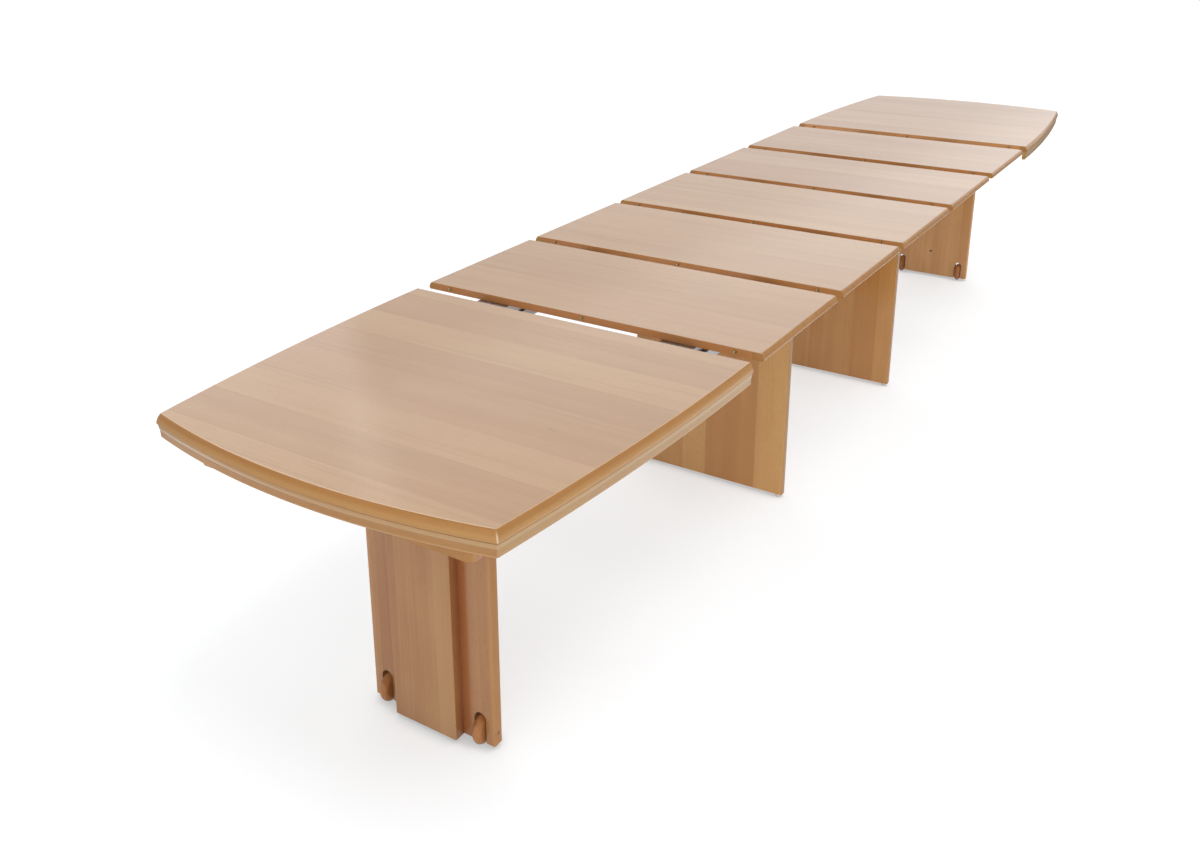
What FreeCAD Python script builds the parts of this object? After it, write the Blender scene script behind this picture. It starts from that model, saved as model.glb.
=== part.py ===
import FreeCAD, Part
import os
import re

import Sketcher

# Extending dining table in beech, drawn out so that its seven top sections stand apart.
# Two boat-shaped end leaves stand on rolling panel legs. Five insert leaves lie between them on
# four pairs of interlocking metal runners, which two inner panel supports carry.
# Millimetres. +X runs along the table to the far end, +Z is up, and the origin is on the floor
# under the middle of the table.

SIZES = {
    # whole table
    "table_height": 760,
    "floor_clearance": 10,
    # top sections in plan
    "leaf_width": 930,
    "insert_length": 450,
    "end_leaf_length": 850,
    "end_taper": 55,
    "end_bow": 50,
    # open joints, from the near end to the far end
    "gap_1": 57,
    "gap_2": 41,
    "gap_3": 40,
    "gap_4": 44,
    "gap_5": 53,
    "gap_6": 70,
    # boards
    "board_thickness": 19,
    "veneer_thickness": 0.8,
    "slide_clearance": 0.3,
    "glue_line": 0.2,
    # moulded edge of the end leaves, measured outwards from the top arris
    "lipping_width": 22,
    "lipping_depth": 23,
    "lipping_bulge": 7.5,
    "lipping_bulge_depth": 19.5,
    "lipping_crown_radius": 42,
    "lipping_toe": 4.5,
    "apron_height": 27.5,
    "apron_thickness": 16,
    "apron_reach": 6.5,
    "apron_taper": 2.5,
    "apron_shoulder_drop": 8,
    "apron_shoulder_inset": 2.5,
    "apron_toe": 2.5,
    "mitre_reach": 110,
    "mitre_overrun": "=1 deg",
    # moulded edge of the inserts
    "insert_bulge": 6.5,
    "insert_bulge_depth": 14,
    "insert_crown_radius": 26,
    "insert_toe": 2,
    "insert_toe_radius": 6,
    # joint edges and their pins
    "joint_lipping_width": 12,
    "pin_radius": 4,
    "pin_tip_radius": 2.2,
    "pin_tip_length": 4,
    "pin_reach": 10,
    "pin_seat": 11,
    "pin_fit": 0.05,
    "pin_clearance": 0.5,
    "pin_depth": 9.5,
    "pin_inset": 63,
    # cross rail under the outer end of each end leaf
    "end_rail_inset": 70,
    "end_rail_thickness": 28,
    "end_rail_depth": 83,
    "end_rail_reach": 825,
    "end_rail_corner": 20,
    "end_rail_back_corner": 3,
    # runners
    "runner_length": 1600,
    "runner_width": 44,
    "runner_height": 56,
    "runner_wall": 4,
    "runner_gap": 2,
    "runner_reach": 306,
    "runner_lead": 60,
    "tongue_neck": 8,
    "tongue_head": 18,
    "tongue_thickness": 5,
    "tongue_clearance": 0.7,
    # bearers between legs and runners
    "bearer_length": 652,
    "bearer_width": 74,
    "bearer_height": 45,
    "bearer_relief": 4,
    # rolling end legs
    "leg_setback": 542,
    "leg_width": 332,
    "leg_thickness": 27,
    "leg_edge_radius": 3.5,
    "leg_edge_share": 0.45,
    "block_width": 168,
    "block_depth": 28,
    "block_edge_radius": 3,
    "block_back_radius": 1,
    # wheels
    "wheel_radius": 38,
    "wheel_width": 26,
    "wheel_tread": 8,
    "wheel_shoulder_width": 21,
    "wheel_shoulder_drop": 5,
    "wheel_side_drop": 13,
    "wheel_spacing": 258,
    "wheel_side_clearance": 2,
    "wheel_top_clearance": 7,
    "axle_radius": 4,
    "axle_fit": 0.06,
    "axle_seat": 14,
    "axle_recess": 2,
    # inner supports
    "near_support_offset": 780,
    "far_support_offset": 811,
    "support_width": 500,
    "support_thickness": 23,
    "support_edge_radius": 3,
    "glide_inset": 14,
    "glide_radius": 9,
    "glide_chamfer": 2,
    "glide_stem_radius": 3,
    "glide_stem_length": 14,
    "glide_fit": 0.1,
}

INSERTS = 5
LANES = {"near": 0, "near_support": 1, "far_support": 2, "far": 3}

# Formulas used by several pieces, written in the names of the sizes.
GAPS = " + ".join(f"gap_{number}" for number in range(1, INSERTS + 2))
NEAR_JOINT = f"(-({INSERTS} * insert_length + {GAPS}) / 2)"
FAR_JOINT = f"(-{NEAR_JOINT})"
INSERT_THICKNESS = "(board_thickness - slide_clearance)"
BOARD_UNDERSIDE = "(table_height - board_thickness)"
RUNNER_BASE = f"({BOARD_UNDERSIDE} - runner_height)"
RUNNER_PITCH = "(runner_width + runner_gap)"
PIN_HEIGHT = "(table_height - pin_depth)"
END_WIDTH = "(leaf_width - 2 * end_taper)"
SIDE_RADIUS = "((end_leaf_length^2 + end_taper^2) / (2 * end_taper))"
SIDE_COS = f"(1 - end_taper / {SIDE_RADIUS})"
SIDE_SIN = f"(end_leaf_length / {SIDE_RADIUS})"
END_RADIUS = f"((({END_WIDTH} / 2)^2 + end_bow^2) / (2 * end_bow))"
END_COS = f"(1 - end_bow / {END_RADIUS})"
END_SIN = f"({END_WIDTH} / 2 / {END_RADIUS})"
SIDE_CENTRE = f"(leaf_width / 2 - {SIDE_RADIUS})"
END_CENTRE = f"({END_RADIUS} - end_leaf_length - end_bow)"
SLOT_RADIUS = "(wheel_width / 2 + wheel_side_clearance)"

doc = FreeCAD.newDocument("extending_table")
sheet = doc.addObject("Spreadsheet::Sheet", "sizes")
for row, (alias, size) in enumerate(SIZES.items(), start=1):
    sheet.set(f"A{row}", alias)
    sheet.set(f"B{row}", str(size))
    sheet.setAlias(f"B{row}", alias)
gauge = doc.addObject("Part::Vertex", "gauge")
doc.recompute()

pieces = {}


def formula(text):
    """Return text with every size's name turned into a reference to its cell."""
    return re.sub(r"[a-z_][a-z_0-9]*", lambda word: cell(word.group()), str(text))


def cell(word):
    """Return the sheet reference of a size's name, or the word itself."""
    return f"sizes.{word}" if word in SIZES else word


def measure(text):
    """Return the present value of a formula, read off a loose gauge point."""
    gauge.setExpression("X", formula(text))
    gauge.recompute()
    return gauge.X.Value


def bind(item, **properties):
    """Bind properties of an object to formulas."""
    for name, text in properties.items():
        item.setExpression(name, formula(text))


def place(item, x="0", y="0", z="0", axis=None, angle=0):
    """Turn an object about an axis, then bind its position to formulas."""
    if axis:
        turn = FreeCAD.Rotation(FreeCAD.Vector(*axis), angle)
        item.Placement = FreeCAD.Placement(FreeCAD.Vector(), turn)
    for letter, text in zip("xyz", (x, y, z)):
        item.setExpression(f"Placement.Base.{letter}", formula(text))
    return item


def keep(label, item):
    """Name a finished sub-part and list it for writing."""
    item.Label = label
    pieces[label] = item
    return item


def box(x, y, z, length, width, height):
    """A block from its lowest corner."""
    item = doc.addObject("Part::Box", "block")
    bind(item, Length=length, Width=width, Height=height)
    return place(item, x, y, z)


def cylinder(x, y, z, radius, length, axis=None, angle=0):
    """A round bar from the centre of its first end, along +Z before it is turned."""
    item = doc.addObject("Part::Cylinder", "bar")
    bind(item, Radius=radius, Height=length)
    return place(item, x, y, z, axis, angle)


def fuse(first, second):
    """Two shapes joined into one solid."""
    item = doc.addObject("Part::Fuse", "joined")
    item.Base = first
    item.Tool = second
    return item


def group(items):
    """Several solids kept side by side in one sub-part."""
    item = doc.addObject("Part::Compound", "group")
    item.Links = items
    return item


def cut(base, tools):
    """A shape with holes or notches taken out of it."""
    drills = doc.addObject("Part::MultiFuse", "drills")
    drills.Shapes = tools
    item = doc.addObject("Part::Cut", "cut")
    item.Base = base
    item.Tool = drills
    return item


def mirror(source, normal):
    """The mirror image of a shape in a plane through the origin."""
    item = doc.addObject("Part::Mirroring", "mirrored")
    item.Source = source
    item.Base = FreeCAD.Vector()
    item.Normal = FreeCAD.Vector(*normal)
    return item


ALONG = (1, 0, 0)
ACROSS = (0, 1, 0)
UPRIGHT = (0, 0, 1)


def new_sketch(body, role, lift=None):
    """An empty sketch on one of the body's own origin planes, lifted off it if asked."""
    sketch = body.newObject("Sketcher::SketchObject", "outline")
    plane = next(item for item in body.Origin.OriginFeatures if item.Role == role)
    sketch.AttachmentSupport = [(plane, "")]
    sketch.MapMode = "FlatFace"
    if lift:
        sketch.setExpression("AttachmentOffset.Base.z", formula(lift))
    return sketch


def limit(sketch, text, *constraint):
    """Add a dimension to a sketch and bind it to a formula."""
    number = sketch.addConstraint(Sketcher.Constraint(*constraint, measure(text)))
    sketch.setExpression(f"Constraints[{number}]", formula(text))


def arc_between(start, end, radius, convex):
    """The arc shorter than a half circle between two points of an anticlockwise outline."""
    chord = end - start
    inward = FreeCAD.Vector(-chord.y, chord.x, 0) * (1 if convex else -1)
    inward.normalize()
    rise = max(radius**2 - (chord.Length / 2) ** 2, 0) ** 0.5
    centre = (start + end) * 0.5 + inward * rise
    first, last = (start, end) if convex else (end, start)
    circle = Part.Circle(centre, FreeCAD.Vector(0, 0, 1), radius)
    return Part.ArcOfCircle(circle, circle.parameter(first), circle.parameter(last))


def closed_outline(sketch, corners):
    """Draw an anticlockwise outline through corners that are bound to formulas.

    A corner is (x, y), or (x, y, radius) where a convex arc leads on to the next corner, or
    (x, y, radius, "hollow") where the arc is concave.
    """
    points = [FreeCAD.Vector(measure(corner[0]), measure(corner[1]), 0) for corner in corners]
    starts = []
    ends = []
    for number, corner in enumerate(corners):
        start = points[number]
        end = points[(number + 1) % len(points)]
        convex = len(corner) < 4
        if len(corner) == 2:
            edge = sketch.addGeometry(Part.LineSegment(start, end), False)
        else:
            edge = sketch.addGeometry(arc_between(start, end, measure(corner[2]), convex), False)
        starts.append((edge, 1 if convex else 2))
        ends.append((edge, 2 if convex else 1))
    for number, corner in enumerate(corners):
        sketch.addConstraint(Sketcher.Constraint("Coincident", *ends[number - 1], *starts[number]))
        limit(sketch, corner[0], "DistanceX", -1, 1, *starts[number])
        limit(sketch, corner[1], "DistanceY", -1, 1, *starts[number])
        if len(corner) > 2:
            limit(sketch, corner[2], "Radius", starts[number][0])


def pad(body, sketch, length, symmetric=False):
    """Raise a sketch into a solid."""
    feature = body.newObject("PartDesign::Pad", "pad")
    feature.Profile = sketch
    if symmetric:
        feature.SideType = "Symmetric"
    bind(feature, Length=length)
    return feature


def turned(role, corners, angle="360", midplane=False):
    """A body turned about the upright axis of a profile sketch."""
    body = doc.addObject("PartDesign::Body", "turned")
    sketch = new_sketch(body, role)
    closed_outline(sketch, corners)
    feature = body.newObject("PartDesign::Revolution", "turn")
    feature.Profile = sketch
    feature.ReferenceAxis = (sketch, ["V_Axis"])
    feature.Midplane = midplane
    bind(feature, Angle=angle)
    return body


def extruded(role, outlines, length, symmetric=False):
    """A body raised from one sketch, where outlines after the first are hollows."""
    body = doc.addObject("PartDesign::Body", "extruded")
    sketch = new_sketch(body, role)
    for corners in outlines:
        closed_outline(sketch, corners)
    pad(body, sketch, length, symmetric)
    return body


def rounded_plan(length, width, front, back):
    """Plan of a bar centred on the origin, with its own corner radius at the -X and +X faces."""
    half = f"{length} / 2"
    side = f"{width} / 2"
    return [
        (f"-({half})", f"{side} - {front}"),
        (f"-({half})", f"-({side} - {front})", front),
        (f"-({half}) + {front}", f"-({side})"),
        (f"{half} - {back}", f"-({side})", back),
        (half, f"-({side} - {back})"),
        (half, f"{side} - {back}", back),
        (f"{half} - {back}", side),
        (f"-({half}) + {front}", side, front),
    ]


# Moulded edges of the end leaves


def lipping_profile(radius):
    """Thumbnail edge: it swells outwards from the top arris and turns under at its toe."""
    return [
        (f"{radius} - lipping_width", "-lipping_depth"),
        (f"{radius} + lipping_toe", "-lipping_depth"),
        (f"{radius} + lipping_bulge", "-lipping_bulge_depth", "lipping_crown_radius"),
        (radius, "-veneer_thickness"),
        (f"{radius} - lipping_width", "-veneer_thickness"),
    ]


def apron_profile(radius):
    """Strip under the lipping, eased at the shoulder so that a shadow groove stays between."""
    outer = f"{radius} + apron_reach"
    inner = f"{radius} + apron_reach - apron_thickness"
    foot = "-(lipping_depth + apron_height)"
    return [
        (inner, foot),
        (f"{outer} - apron_taper - apron_toe", foot),
        (f"{outer} - apron_taper", f"{foot} + apron_toe"),
        (outer, "-(lipping_depth + apron_shoulder_drop)"),
        (f"{outer} - apron_shoulder_inset", "-lipping_depth"),
        (inner, "-lipping_depth"),
    ]


def mitre(body, corner, own, other, side):
    """Cut a moulding at a corner, in the plane that halves the angle to its neighbour.

    own and other are the outward directions of the two mouldings at the corner.
    """
    along = [f"({mine} + {theirs}) * mitre_reach" for mine, theirs in zip(own, other)]
    onward = [f"-({along[1]})", along[0]]
    points = [
        [f"{at} - {reach}" for at, reach in zip(corner, along)],
        [f"{at} + {reach}" for at, reach in zip(corner, along)],
        [f"{at} + {reach} + {step}" for at, reach, step in zip(corner, along, onward)],
        [f"{at} - {reach} + {step}" for at, reach, step in zip(corner, along, onward)],
    ]
    if side < 0:
        points = [[x, f"-({y})"] for x, y in reversed(points)]
    sketch = new_sketch(body, "XY_Plane")
    closed_outline(sketch, points)
    feature = body.newObject("PartDesign::Pocket", "mitre")
    feature.Profile = sketch
    feature.Type = "ThroughAll"
    feature.SideType = "Symmetric"


def side_moulding(profile):
    """Left-hand moulding of the near end leaf, swept along its gently bowed side."""
    body = turned("XZ_Plane", profile(SIDE_RADIUS), f"asin({SIDE_SIN}) + mitre_overrun")
    corner = (f"{SIDE_RADIUS} * {SIDE_COS}", "end_leaf_length")
    mitre(body, corner, (SIDE_COS, SIDE_SIN), (END_SIN, END_COS), 1)
    return place(body, NEAR_JOINT, SIDE_CENTRE, "table_height", UPRIGHT, 90)


def end_moulding(profile):
    """Moulding along the bowed end of the near end leaf, mitred at both corners."""
    body = turned("XZ_Plane", profile(END_RADIUS), f"2 * (asin({END_SIN}) + mitre_overrun)", True)
    corner = (f"{END_RADIUS} * {END_COS}", f"{END_WIDTH} / 2")
    for side in (1, -1):
        mitre(body, corner, (END_COS, END_SIN), (SIDE_SIN, SIDE_COS), side)
    return place(body, f"{NEAR_JOINT} + {END_CENTRE}", "0", "table_height", UPRIGHT, 180)


for name, profile in (("lipping", lipping_profile), ("apron", apron_profile)):
    end_piece = keep(f"near_end_{name}", end_moulding(profile))
    left_piece = keep(f"near_left_{name}", side_moulding(profile))
    right_piece = keep(f"near_right_{name}", mirror(left_piece, ACROSS))
    keep(f"far_end_{name}", mirror(end_piece, ALONG))
    keep(f"far_left_{name}", mirror(left_piece, ALONG))
    keep(f"far_right_{name}", mirror(right_piece, ALONG))

# Boards of the end leaves


def end_leaf_outline(sketch, inset, joint_inset):
    """Boat-shaped plan of an end leaf, drawn in by an inset, with its joint edge at +X."""
    side = measure("leaf_width / 2") - measure(inset)
    corner_x = measure(inset) - measure("end_leaf_length")
    corner_y = measure(f"{END_WIDTH} / 2") - measure(inset)
    joint_x = -measure(joint_inset)
    corners = [
        FreeCAD.Vector(joint_x, -side, 0),
        FreeCAD.Vector(joint_x, side, 0),
        FreeCAD.Vector(corner_x, corner_y, 0),
        FreeCAD.Vector(corner_x, -corner_y, 0),
    ]
    side_radius = f"{SIDE_RADIUS} - ({inset})"
    end_radius = f"{END_RADIUS} - ({inset})"
    joint = sketch.addGeometry(Part.LineSegment(corners[0], corners[1]), False)
    arcs = [
        (side_radius, "0", SIDE_CENTRE),
        (end_radius, END_CENTRE, "0"),
        (side_radius, "0", f"-{SIDE_CENTRE}"),
    ]
    edges = [joint]
    for start, end, (radius, _, _) in zip(corners[1:], corners[2:] + corners[:1], arcs):
        arc = arc_between(start, end, measure(radius), True)
        edges.append(sketch.addGeometry(arc, False))
    for number, edge in enumerate(edges):
        sketch.addConstraint(Sketcher.Constraint("Coincident", edges[number - 1], 2, edge, 1))
    for edge, (radius, x, y) in zip(edges[1:], arcs):
        limit(sketch, radius, "Radius", edge)
        limit(sketch, x, "DistanceX", -1, 1, edge, 3)
        limit(sketch, y, "DistanceY", -1, 1, edge, 3)
    sketch.addConstraint(Sketcher.Constraint("Vertical", joint))
    limit(sketch, f"-({joint_inset})", "DistanceX", -1, 1, joint, 1)


def end_leaf_board():
    """Core between the lippings, with the top veneer lapping over them to the arris."""
    body = doc.addObject("PartDesign::Body", "board")
    core = new_sketch(body, "XY_Plane")
    end_leaf_outline(core, "lipping_width + glue_line", "joint_lipping_width")
    pad(body, core, "board_thickness")
    veneer = new_sketch(body, "XY_Plane", "board_thickness - veneer_thickness")
    end_leaf_outline(veneer, "0", "0")
    pad(body, veneer, "veneer_thickness")
    return place(body, NEAR_JOINT, "0", BOARD_UNDERSIDE)


near_board = keep("near_board", end_leaf_board())
keep("far_board", mirror(near_board, ALONG))

# Joint edges, pins and sockets

JOINT_LENGTH = "(leaf_width - 2 * (lipping_width + glue_line))"
PIN_ROWS = ("pin_inset - leaf_width / 2", "0", "leaf_width / 2 - pin_inset")
TOWARDS_NEAR = {"axis": ACROSS, "angle": -90}


def joint_lipping(x, thickness, hole_radius):
    """Plain strip along a joint edge, drilled through for pins or as sockets."""
    width = "joint_lipping_width"
    height = f"{thickness} - veneer_thickness"
    low = f"table_height - {thickness}"
    strip = box(x, f"-{JOINT_LENGTH} / 2", low, width, JOINT_LENGTH, height)
    far_face = f"{x} + {width}"
    drills = [
        cylinder(far_face, y, PIN_HEIGHT, hole_radius, width, **TOWARDS_NEAR)
        for y in PIN_ROWS
    ]
    return cut(strip, drills)


def pins(joint_x):
    """Three brass pins with tapered tips that stand out of a near joint edge."""
    made = []
    seat = f"{joint_x} + pin_seat"
    length = "pin_seat + pin_reach - pin_tip_length"
    for y in PIN_ROWS:
        shank = cylinder(seat, y, PIN_HEIGHT, "pin_radius", length, **TOWARDS_NEAR)
        tip = doc.addObject("Part::Cone", "tip")
        bind(tip, Radius1="pin_radius", Radius2="pin_tip_radius", Height="pin_tip_length")
        place(tip, f"{joint_x} - pin_reach + pin_tip_length", y, PIN_HEIGHT, **TOWARDS_NEAR)
        made.append(fuse(shank, tip))
    return group(made)


PIN_HOLE = "pin_radius + pin_fit"
SOCKET_HOLE = "pin_radius + pin_clearance"
near_joint_edge = f"{NEAR_JOINT} - joint_lipping_width"
keep("near_joint_lipping", joint_lipping(near_joint_edge, "board_thickness", SOCKET_HOLE))
keep("far_joint_lipping", joint_lipping(FAR_JOINT, "board_thickness", PIN_HOLE))
keep("far_pins", pins(FAR_JOINT))

# Insert leaves


def insert_profile():
    """Moulded end of an insert, fullest low down and rounded under."""
    return [
        ("-lipping_width", f"-{INSERT_THICKNESS}"),
        ("insert_toe", f"-{INSERT_THICKNESS}", "insert_toe_radius"),
        ("insert_bulge", "-insert_bulge_depth", "insert_crown_radius"),
        ("0", "-veneer_thickness"),
        ("-lipping_width", "-veneer_thickness"),
    ]


def insert_board(x):
    """Core of an insert, with the veneer lapping over all four edge strips."""
    core_height = f"{INSERT_THICKNESS} - veneer_thickness"
    core_x = f"{x} + joint_lipping_width"
    core_length = "insert_length - 2 * joint_lipping_width"
    low = f"table_height - {INSERT_THICKNESS}"
    core = box(core_x, f"-{JOINT_LENGTH} / 2", low, core_length, JOINT_LENGTH, core_height)
    veneer_low = "table_height - veneer_thickness"
    veneer = box(x, "-leaf_width / 2", veneer_low, "insert_length", "leaf_width", "veneer_thickness")
    return fuse(core, veneer)


def insert_lippings(x):
    """Moulded strips at the two ends and drilled strips at the two joints."""
    left = extruded("YZ_Plane", [insert_profile()], "insert_length")
    place(left, x, "leaf_width / 2", "table_height")
    near = joint_lipping(x, INSERT_THICKNESS, PIN_HOLE)
    far = joint_lipping(f"{x} + insert_length - joint_lipping_width", INSERT_THICKNESS, SOCKET_HOLE)
    return group([left, mirror(left, ACROSS), near, far])


for number in range(1, INSERTS + 1):
    opened = " + ".join(f"gap_{joint}" for joint in range(1, number + 1))
    leaf_x = f"({NEAR_JOINT} + {number - 1} * insert_length + {opened})"
    keep(f"leaf_{number}_board", insert_board(leaf_x))
    keep(f"leaf_{number}_lippings", insert_lippings(leaf_x))
    keep(f"leaf_{number}_pins", pins(leaf_x))

# Cross rails under the outer ends


def end_rail():
    """Straight rail across the runners' outer ends, with rounded front corners."""
    corners = ("end_rail_corner", "end_rail_back_corner")
    plan = rounded_plan("end_rail_thickness", f"({END_WIDTH} - 2 * end_rail_inset)", *corners)
    body = extruded("XY_Plane", [plan], "end_rail_depth")
    x = f"{NEAR_JOINT} - end_rail_reach + end_rail_thickness / 2"
    return place(body, x, "0", f"{BOARD_UNDERSIDE} - end_rail_depth")


near_end_rail = keep("near_end_rail", end_rail())
keep("far_end_rail", mirror(near_end_rail, ALONG))

# Runners and bearers

NEAR_RUNNER_X = f"({NEAR_JOINT} - end_rail_reach + end_rail_thickness)"
SUPPORT_RUNNER_X = f"({NEAR_JOINT} - runner_lead)"
RUNNER_X = {
    "near": NEAR_RUNNER_X,
    "near_support": SUPPORT_RUNNER_X,
    "far_support": f"(-{SUPPORT_RUNNER_X} - runner_length)",
    "far": f"(-{NEAR_RUNNER_X} - runner_length)",
}
STAND_X = {
    "near": f"({NEAR_JOINT} - leg_setback)",
    "near_support": f"({NEAR_JOINT} + near_support_offset)",
    "far_support": f"({FAR_JOINT} - far_support_offset)",
    "far": f"({FAR_JOINT} + leg_setback)",
}
STAND_DROP = {
    "near": "0",
    "near_support": "slide_clearance",
    "far_support": "slide_clearance",
    "far": "0",
}


def runner_base(name):
    """Height of a runner's underside. The inner runners sit lower, clear of the end leaves."""
    return f"({RUNNER_BASE} - {STAND_DROP[name]})"


def lane_inner(name):
    """Distance from the table's centre line to the inner face of a runner."""
    return f"(runner_reach - runner_width - {LANES[name]} * {RUNNER_PITCH})"


def stand_top(name):
    """Height of the top of a leg or support, under its bearer."""
    return f"({runner_base(name)} - bearer_height)"


def runner_outline():
    """Extrusion with a T-shaped tongue on its outer side and a matching groove on the inner."""
    middle = "runner_height / 2"
    neck = "tongue_neck / 2"
    head = "tongue_head / 2"
    mouth = "tongue_neck / 2 + tongue_clearance"
    chamber = "tongue_head / 2 + tongue_clearance"
    head_start = "runner_width + runner_gap + runner_wall + tongue_clearance"
    head_end = f"{head_start} + tongue_thickness"
    groove = "runner_wall + tongue_thickness + 2 * tongue_clearance"
    return [
        ("0", "0"),
        ("runner_width", "0"),
        ("runner_width", f"{middle} - {neck}"),
        (head_start, f"{middle} - {neck}"),
        (head_start, f"{middle} - {head}"),
        (head_end, f"{middle} - {head}"),
        (head_end, f"{middle} + {head}"),
        (head_start, f"{middle} + {head}"),
        (head_start, f"{middle} + {neck}"),
        ("runner_width", f"{middle} + {neck}"),
        ("runner_width", "runner_height"),
        ("0", "runner_height"),
        ("0", f"{middle} + {mouth}"),
        ("runner_wall", f"{middle} + {mouth}"),
        ("runner_wall", f"{middle} + {chamber}"),
        (groove, f"{middle} + {chamber}"),
        (groove, f"{middle} - ({chamber})"),
        ("runner_wall", f"{middle} - ({chamber})"),
        ("runner_wall", f"{middle} - ({mouth})"),
        ("0", f"{middle} - ({mouth})"),
    ]


def runner_hollow():
    """Chamber inside the extrusion, between the groove's back wall and the outer wall."""
    inner = "2 * runner_wall + tongue_thickness + 2 * tongue_clearance"
    outer = "runner_width - runner_wall"
    return [
        (inner, "runner_wall"),
        (outer, "runner_wall"),
        (outer, "runner_height - runner_wall"),
        (inner, "runner_height - runner_wall"),
    ]


def runner_pair(name):
    """Left-hand and right-hand runner of one stand."""
    left = extruded("YZ_Plane", [runner_outline(), runner_hollow()], "runner_length")
    place(left, RUNNER_X[name], lane_inner(name), runner_base(name))
    return group([left, mirror(left, ACROSS)])


def bearer(name):
    """Cross beam that seats one pair of runners and is cut away under the runners that pass."""
    half = "bearer_length / 2"
    inner = lane_inner(name)
    outer = f"{inner} + runner_width"
    low = "bearer_height - bearer_relief"
    outline = [
        (f"-({half})", "0"),
        (half, "0"),
        (half, low),
        (outer, low),
        (outer, "bearer_height"),
        (inner, "bearer_height"),
        (inner, low),
        (f"-({inner})", low),
        (f"-({inner})", "bearer_height"),
        (f"-({outer})", "bearer_height"),
        (f"-({outer})", low),
        (f"-({half})", low),
    ]
    body = extruded("YZ_Plane", [outline], "bearer_width", True)
    return place(body, STAND_X[name], "0", stand_top(name))


for name in LANES:
    keep(f"{name}_runners", runner_pair(name))
    keep(f"{name}_bearer" if "support" in name else f"{name}_leg_bearer", bearer(name))

# Rolling end legs

SLOT_SPRING = f"(2 * wheel_radius + wheel_top_clearance - floor_clearance - {SLOT_RADIUS})"
SLOT_TOP = f"({SLOT_SPRING} + {SLOT_RADIUS})"
LEG_HEIGHT = f"({stand_top('near')} - floor_clearance)"
AXLE_START = f"(wheel_spacing / 2 - {SLOT_RADIUS} - axle_seat)"
AXLE_LENGTH = f"(leg_width / 2 - axle_recess - {AXLE_START})"
TO_LEFT = {"axis": ALONG, "angle": -90}
TOUCH = 0.01


def wheel_slot(centre):
    """Corners of an arched slot that opens at the foot of a leg, from left to right."""
    left = f"{centre} - {SLOT_RADIUS}"
    right = f"{centre} + {SLOT_RADIUS}"
    return [
        (left, "0"),
        (left, SLOT_SPRING, SLOT_RADIUS, "hollow"),
        (centre, SLOT_TOP, SLOT_RADIUS, "hollow"),
        (right, SLOT_SPRING),
        (right, "0"),
    ]


def leg_panel():
    """Panel with two wheel slots, rounded upright edges and drillings for the axles."""
    half = "leg_width / 2"
    outline = [(f"-({half})", "0")]
    outline += wheel_slot("-wheel_spacing / 2")
    outline += wheel_slot("wheel_spacing / 2")
    outline += [(half, "0"), (half, LEG_HEIGHT), (f"-({half})", LEG_HEIGHT)]
    body = extruded("YZ_Plane", [outline], "leg_thickness", True)
    doc.recompute()
    rounding = body.newObject("PartDesign::Fillet", "rounding")
    rounding.Base = (body.Group[-2], upright_edges(body.Group[-2].Shape, measure(half)))
    bind(rounding, Radius="min(leg_edge_radius; leg_edge_share * leg_thickness)")
    place(body, STAND_X["near"], "0", "floor_clearance")
    hole = "axle_radius + axle_fit"
    drill = cylinder(STAND_X["near"], AXLE_START, "wheel_radius", hole, half, **TO_LEFT)
    return cut(body, [drill, mirror(drill, ACROSS)])


def upright_edges(shape, reach):
    """Names of the upright edges at a given distance either side of the centre line."""
    names = []
    for number, edge in enumerate(shape.Edges, start=1):
        line = edge.BoundBox
        upright = line.XLength + line.YLength < TOUCH
        if upright and abs(abs(line.Center.y) - reach) < TOUCH:
            names.append(f"Edge{number}")
    return names


def leg_block():
    """Thick centre block on the outer face of a leg, with rounded front edges."""
    plan = rounded_plan("block_depth", "block_width", "block_edge_radius", "block_back_radius")
    body = extruded("XY_Plane", [plan], LEG_HEIGHT)
    x = f"{STAND_X['near']} - leg_thickness / 2 - block_depth / 2"
    return place(body, x, "0", "floor_clearance")


def wheel():
    """Turned wooden wheel with a narrow tread and sloped shoulders, bored for its axle."""
    bore = "axle_radius + axle_fit"
    upper = [
        ("wheel_radius", "wheel_tread / 2"),
        ("wheel_radius - wheel_shoulder_drop", "wheel_shoulder_width / 2"),
        ("wheel_radius - wheel_side_drop", "wheel_width / 2"),
        (bore, "wheel_width / 2"),
    ]
    lower = [(reach, f"-({height})") for reach, height in reversed(upper)]
    body = turned("XY_Plane", lower + upper)
    return place(body, STAND_X["near"], "wheel_spacing / 2", "wheel_radius")


near_leg_panel = keep("near_leg_panel", leg_panel())
near_leg_block = keep("near_leg_block", leg_block())
axle_end = (STAND_X["near"], AXLE_START, "wheel_radius")
left_axle = cylinder(*axle_end, "axle_radius", AXLE_LENGTH, **TO_LEFT)
near_axles = keep("near_axles", group([left_axle, mirror(left_axle, ACROSS)]))
near_left_wheel = keep("near_left_wheel", wheel())
near_right_wheel = keep("near_right_wheel", mirror(near_left_wheel, ACROSS))
keep("far_leg_panel", mirror(near_leg_panel, ALONG))
keep("far_leg_block", mirror(near_leg_block, ALONG))
keep("far_axles", mirror(near_axles, ALONG))
keep("far_left_wheel", mirror(near_left_wheel, ALONG))
keep("far_right_wheel", mirror(near_right_wheel, ALONG))

# Inner supports

GLIDE_Y = "(support_width / 2 - glide_inset)"


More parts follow.
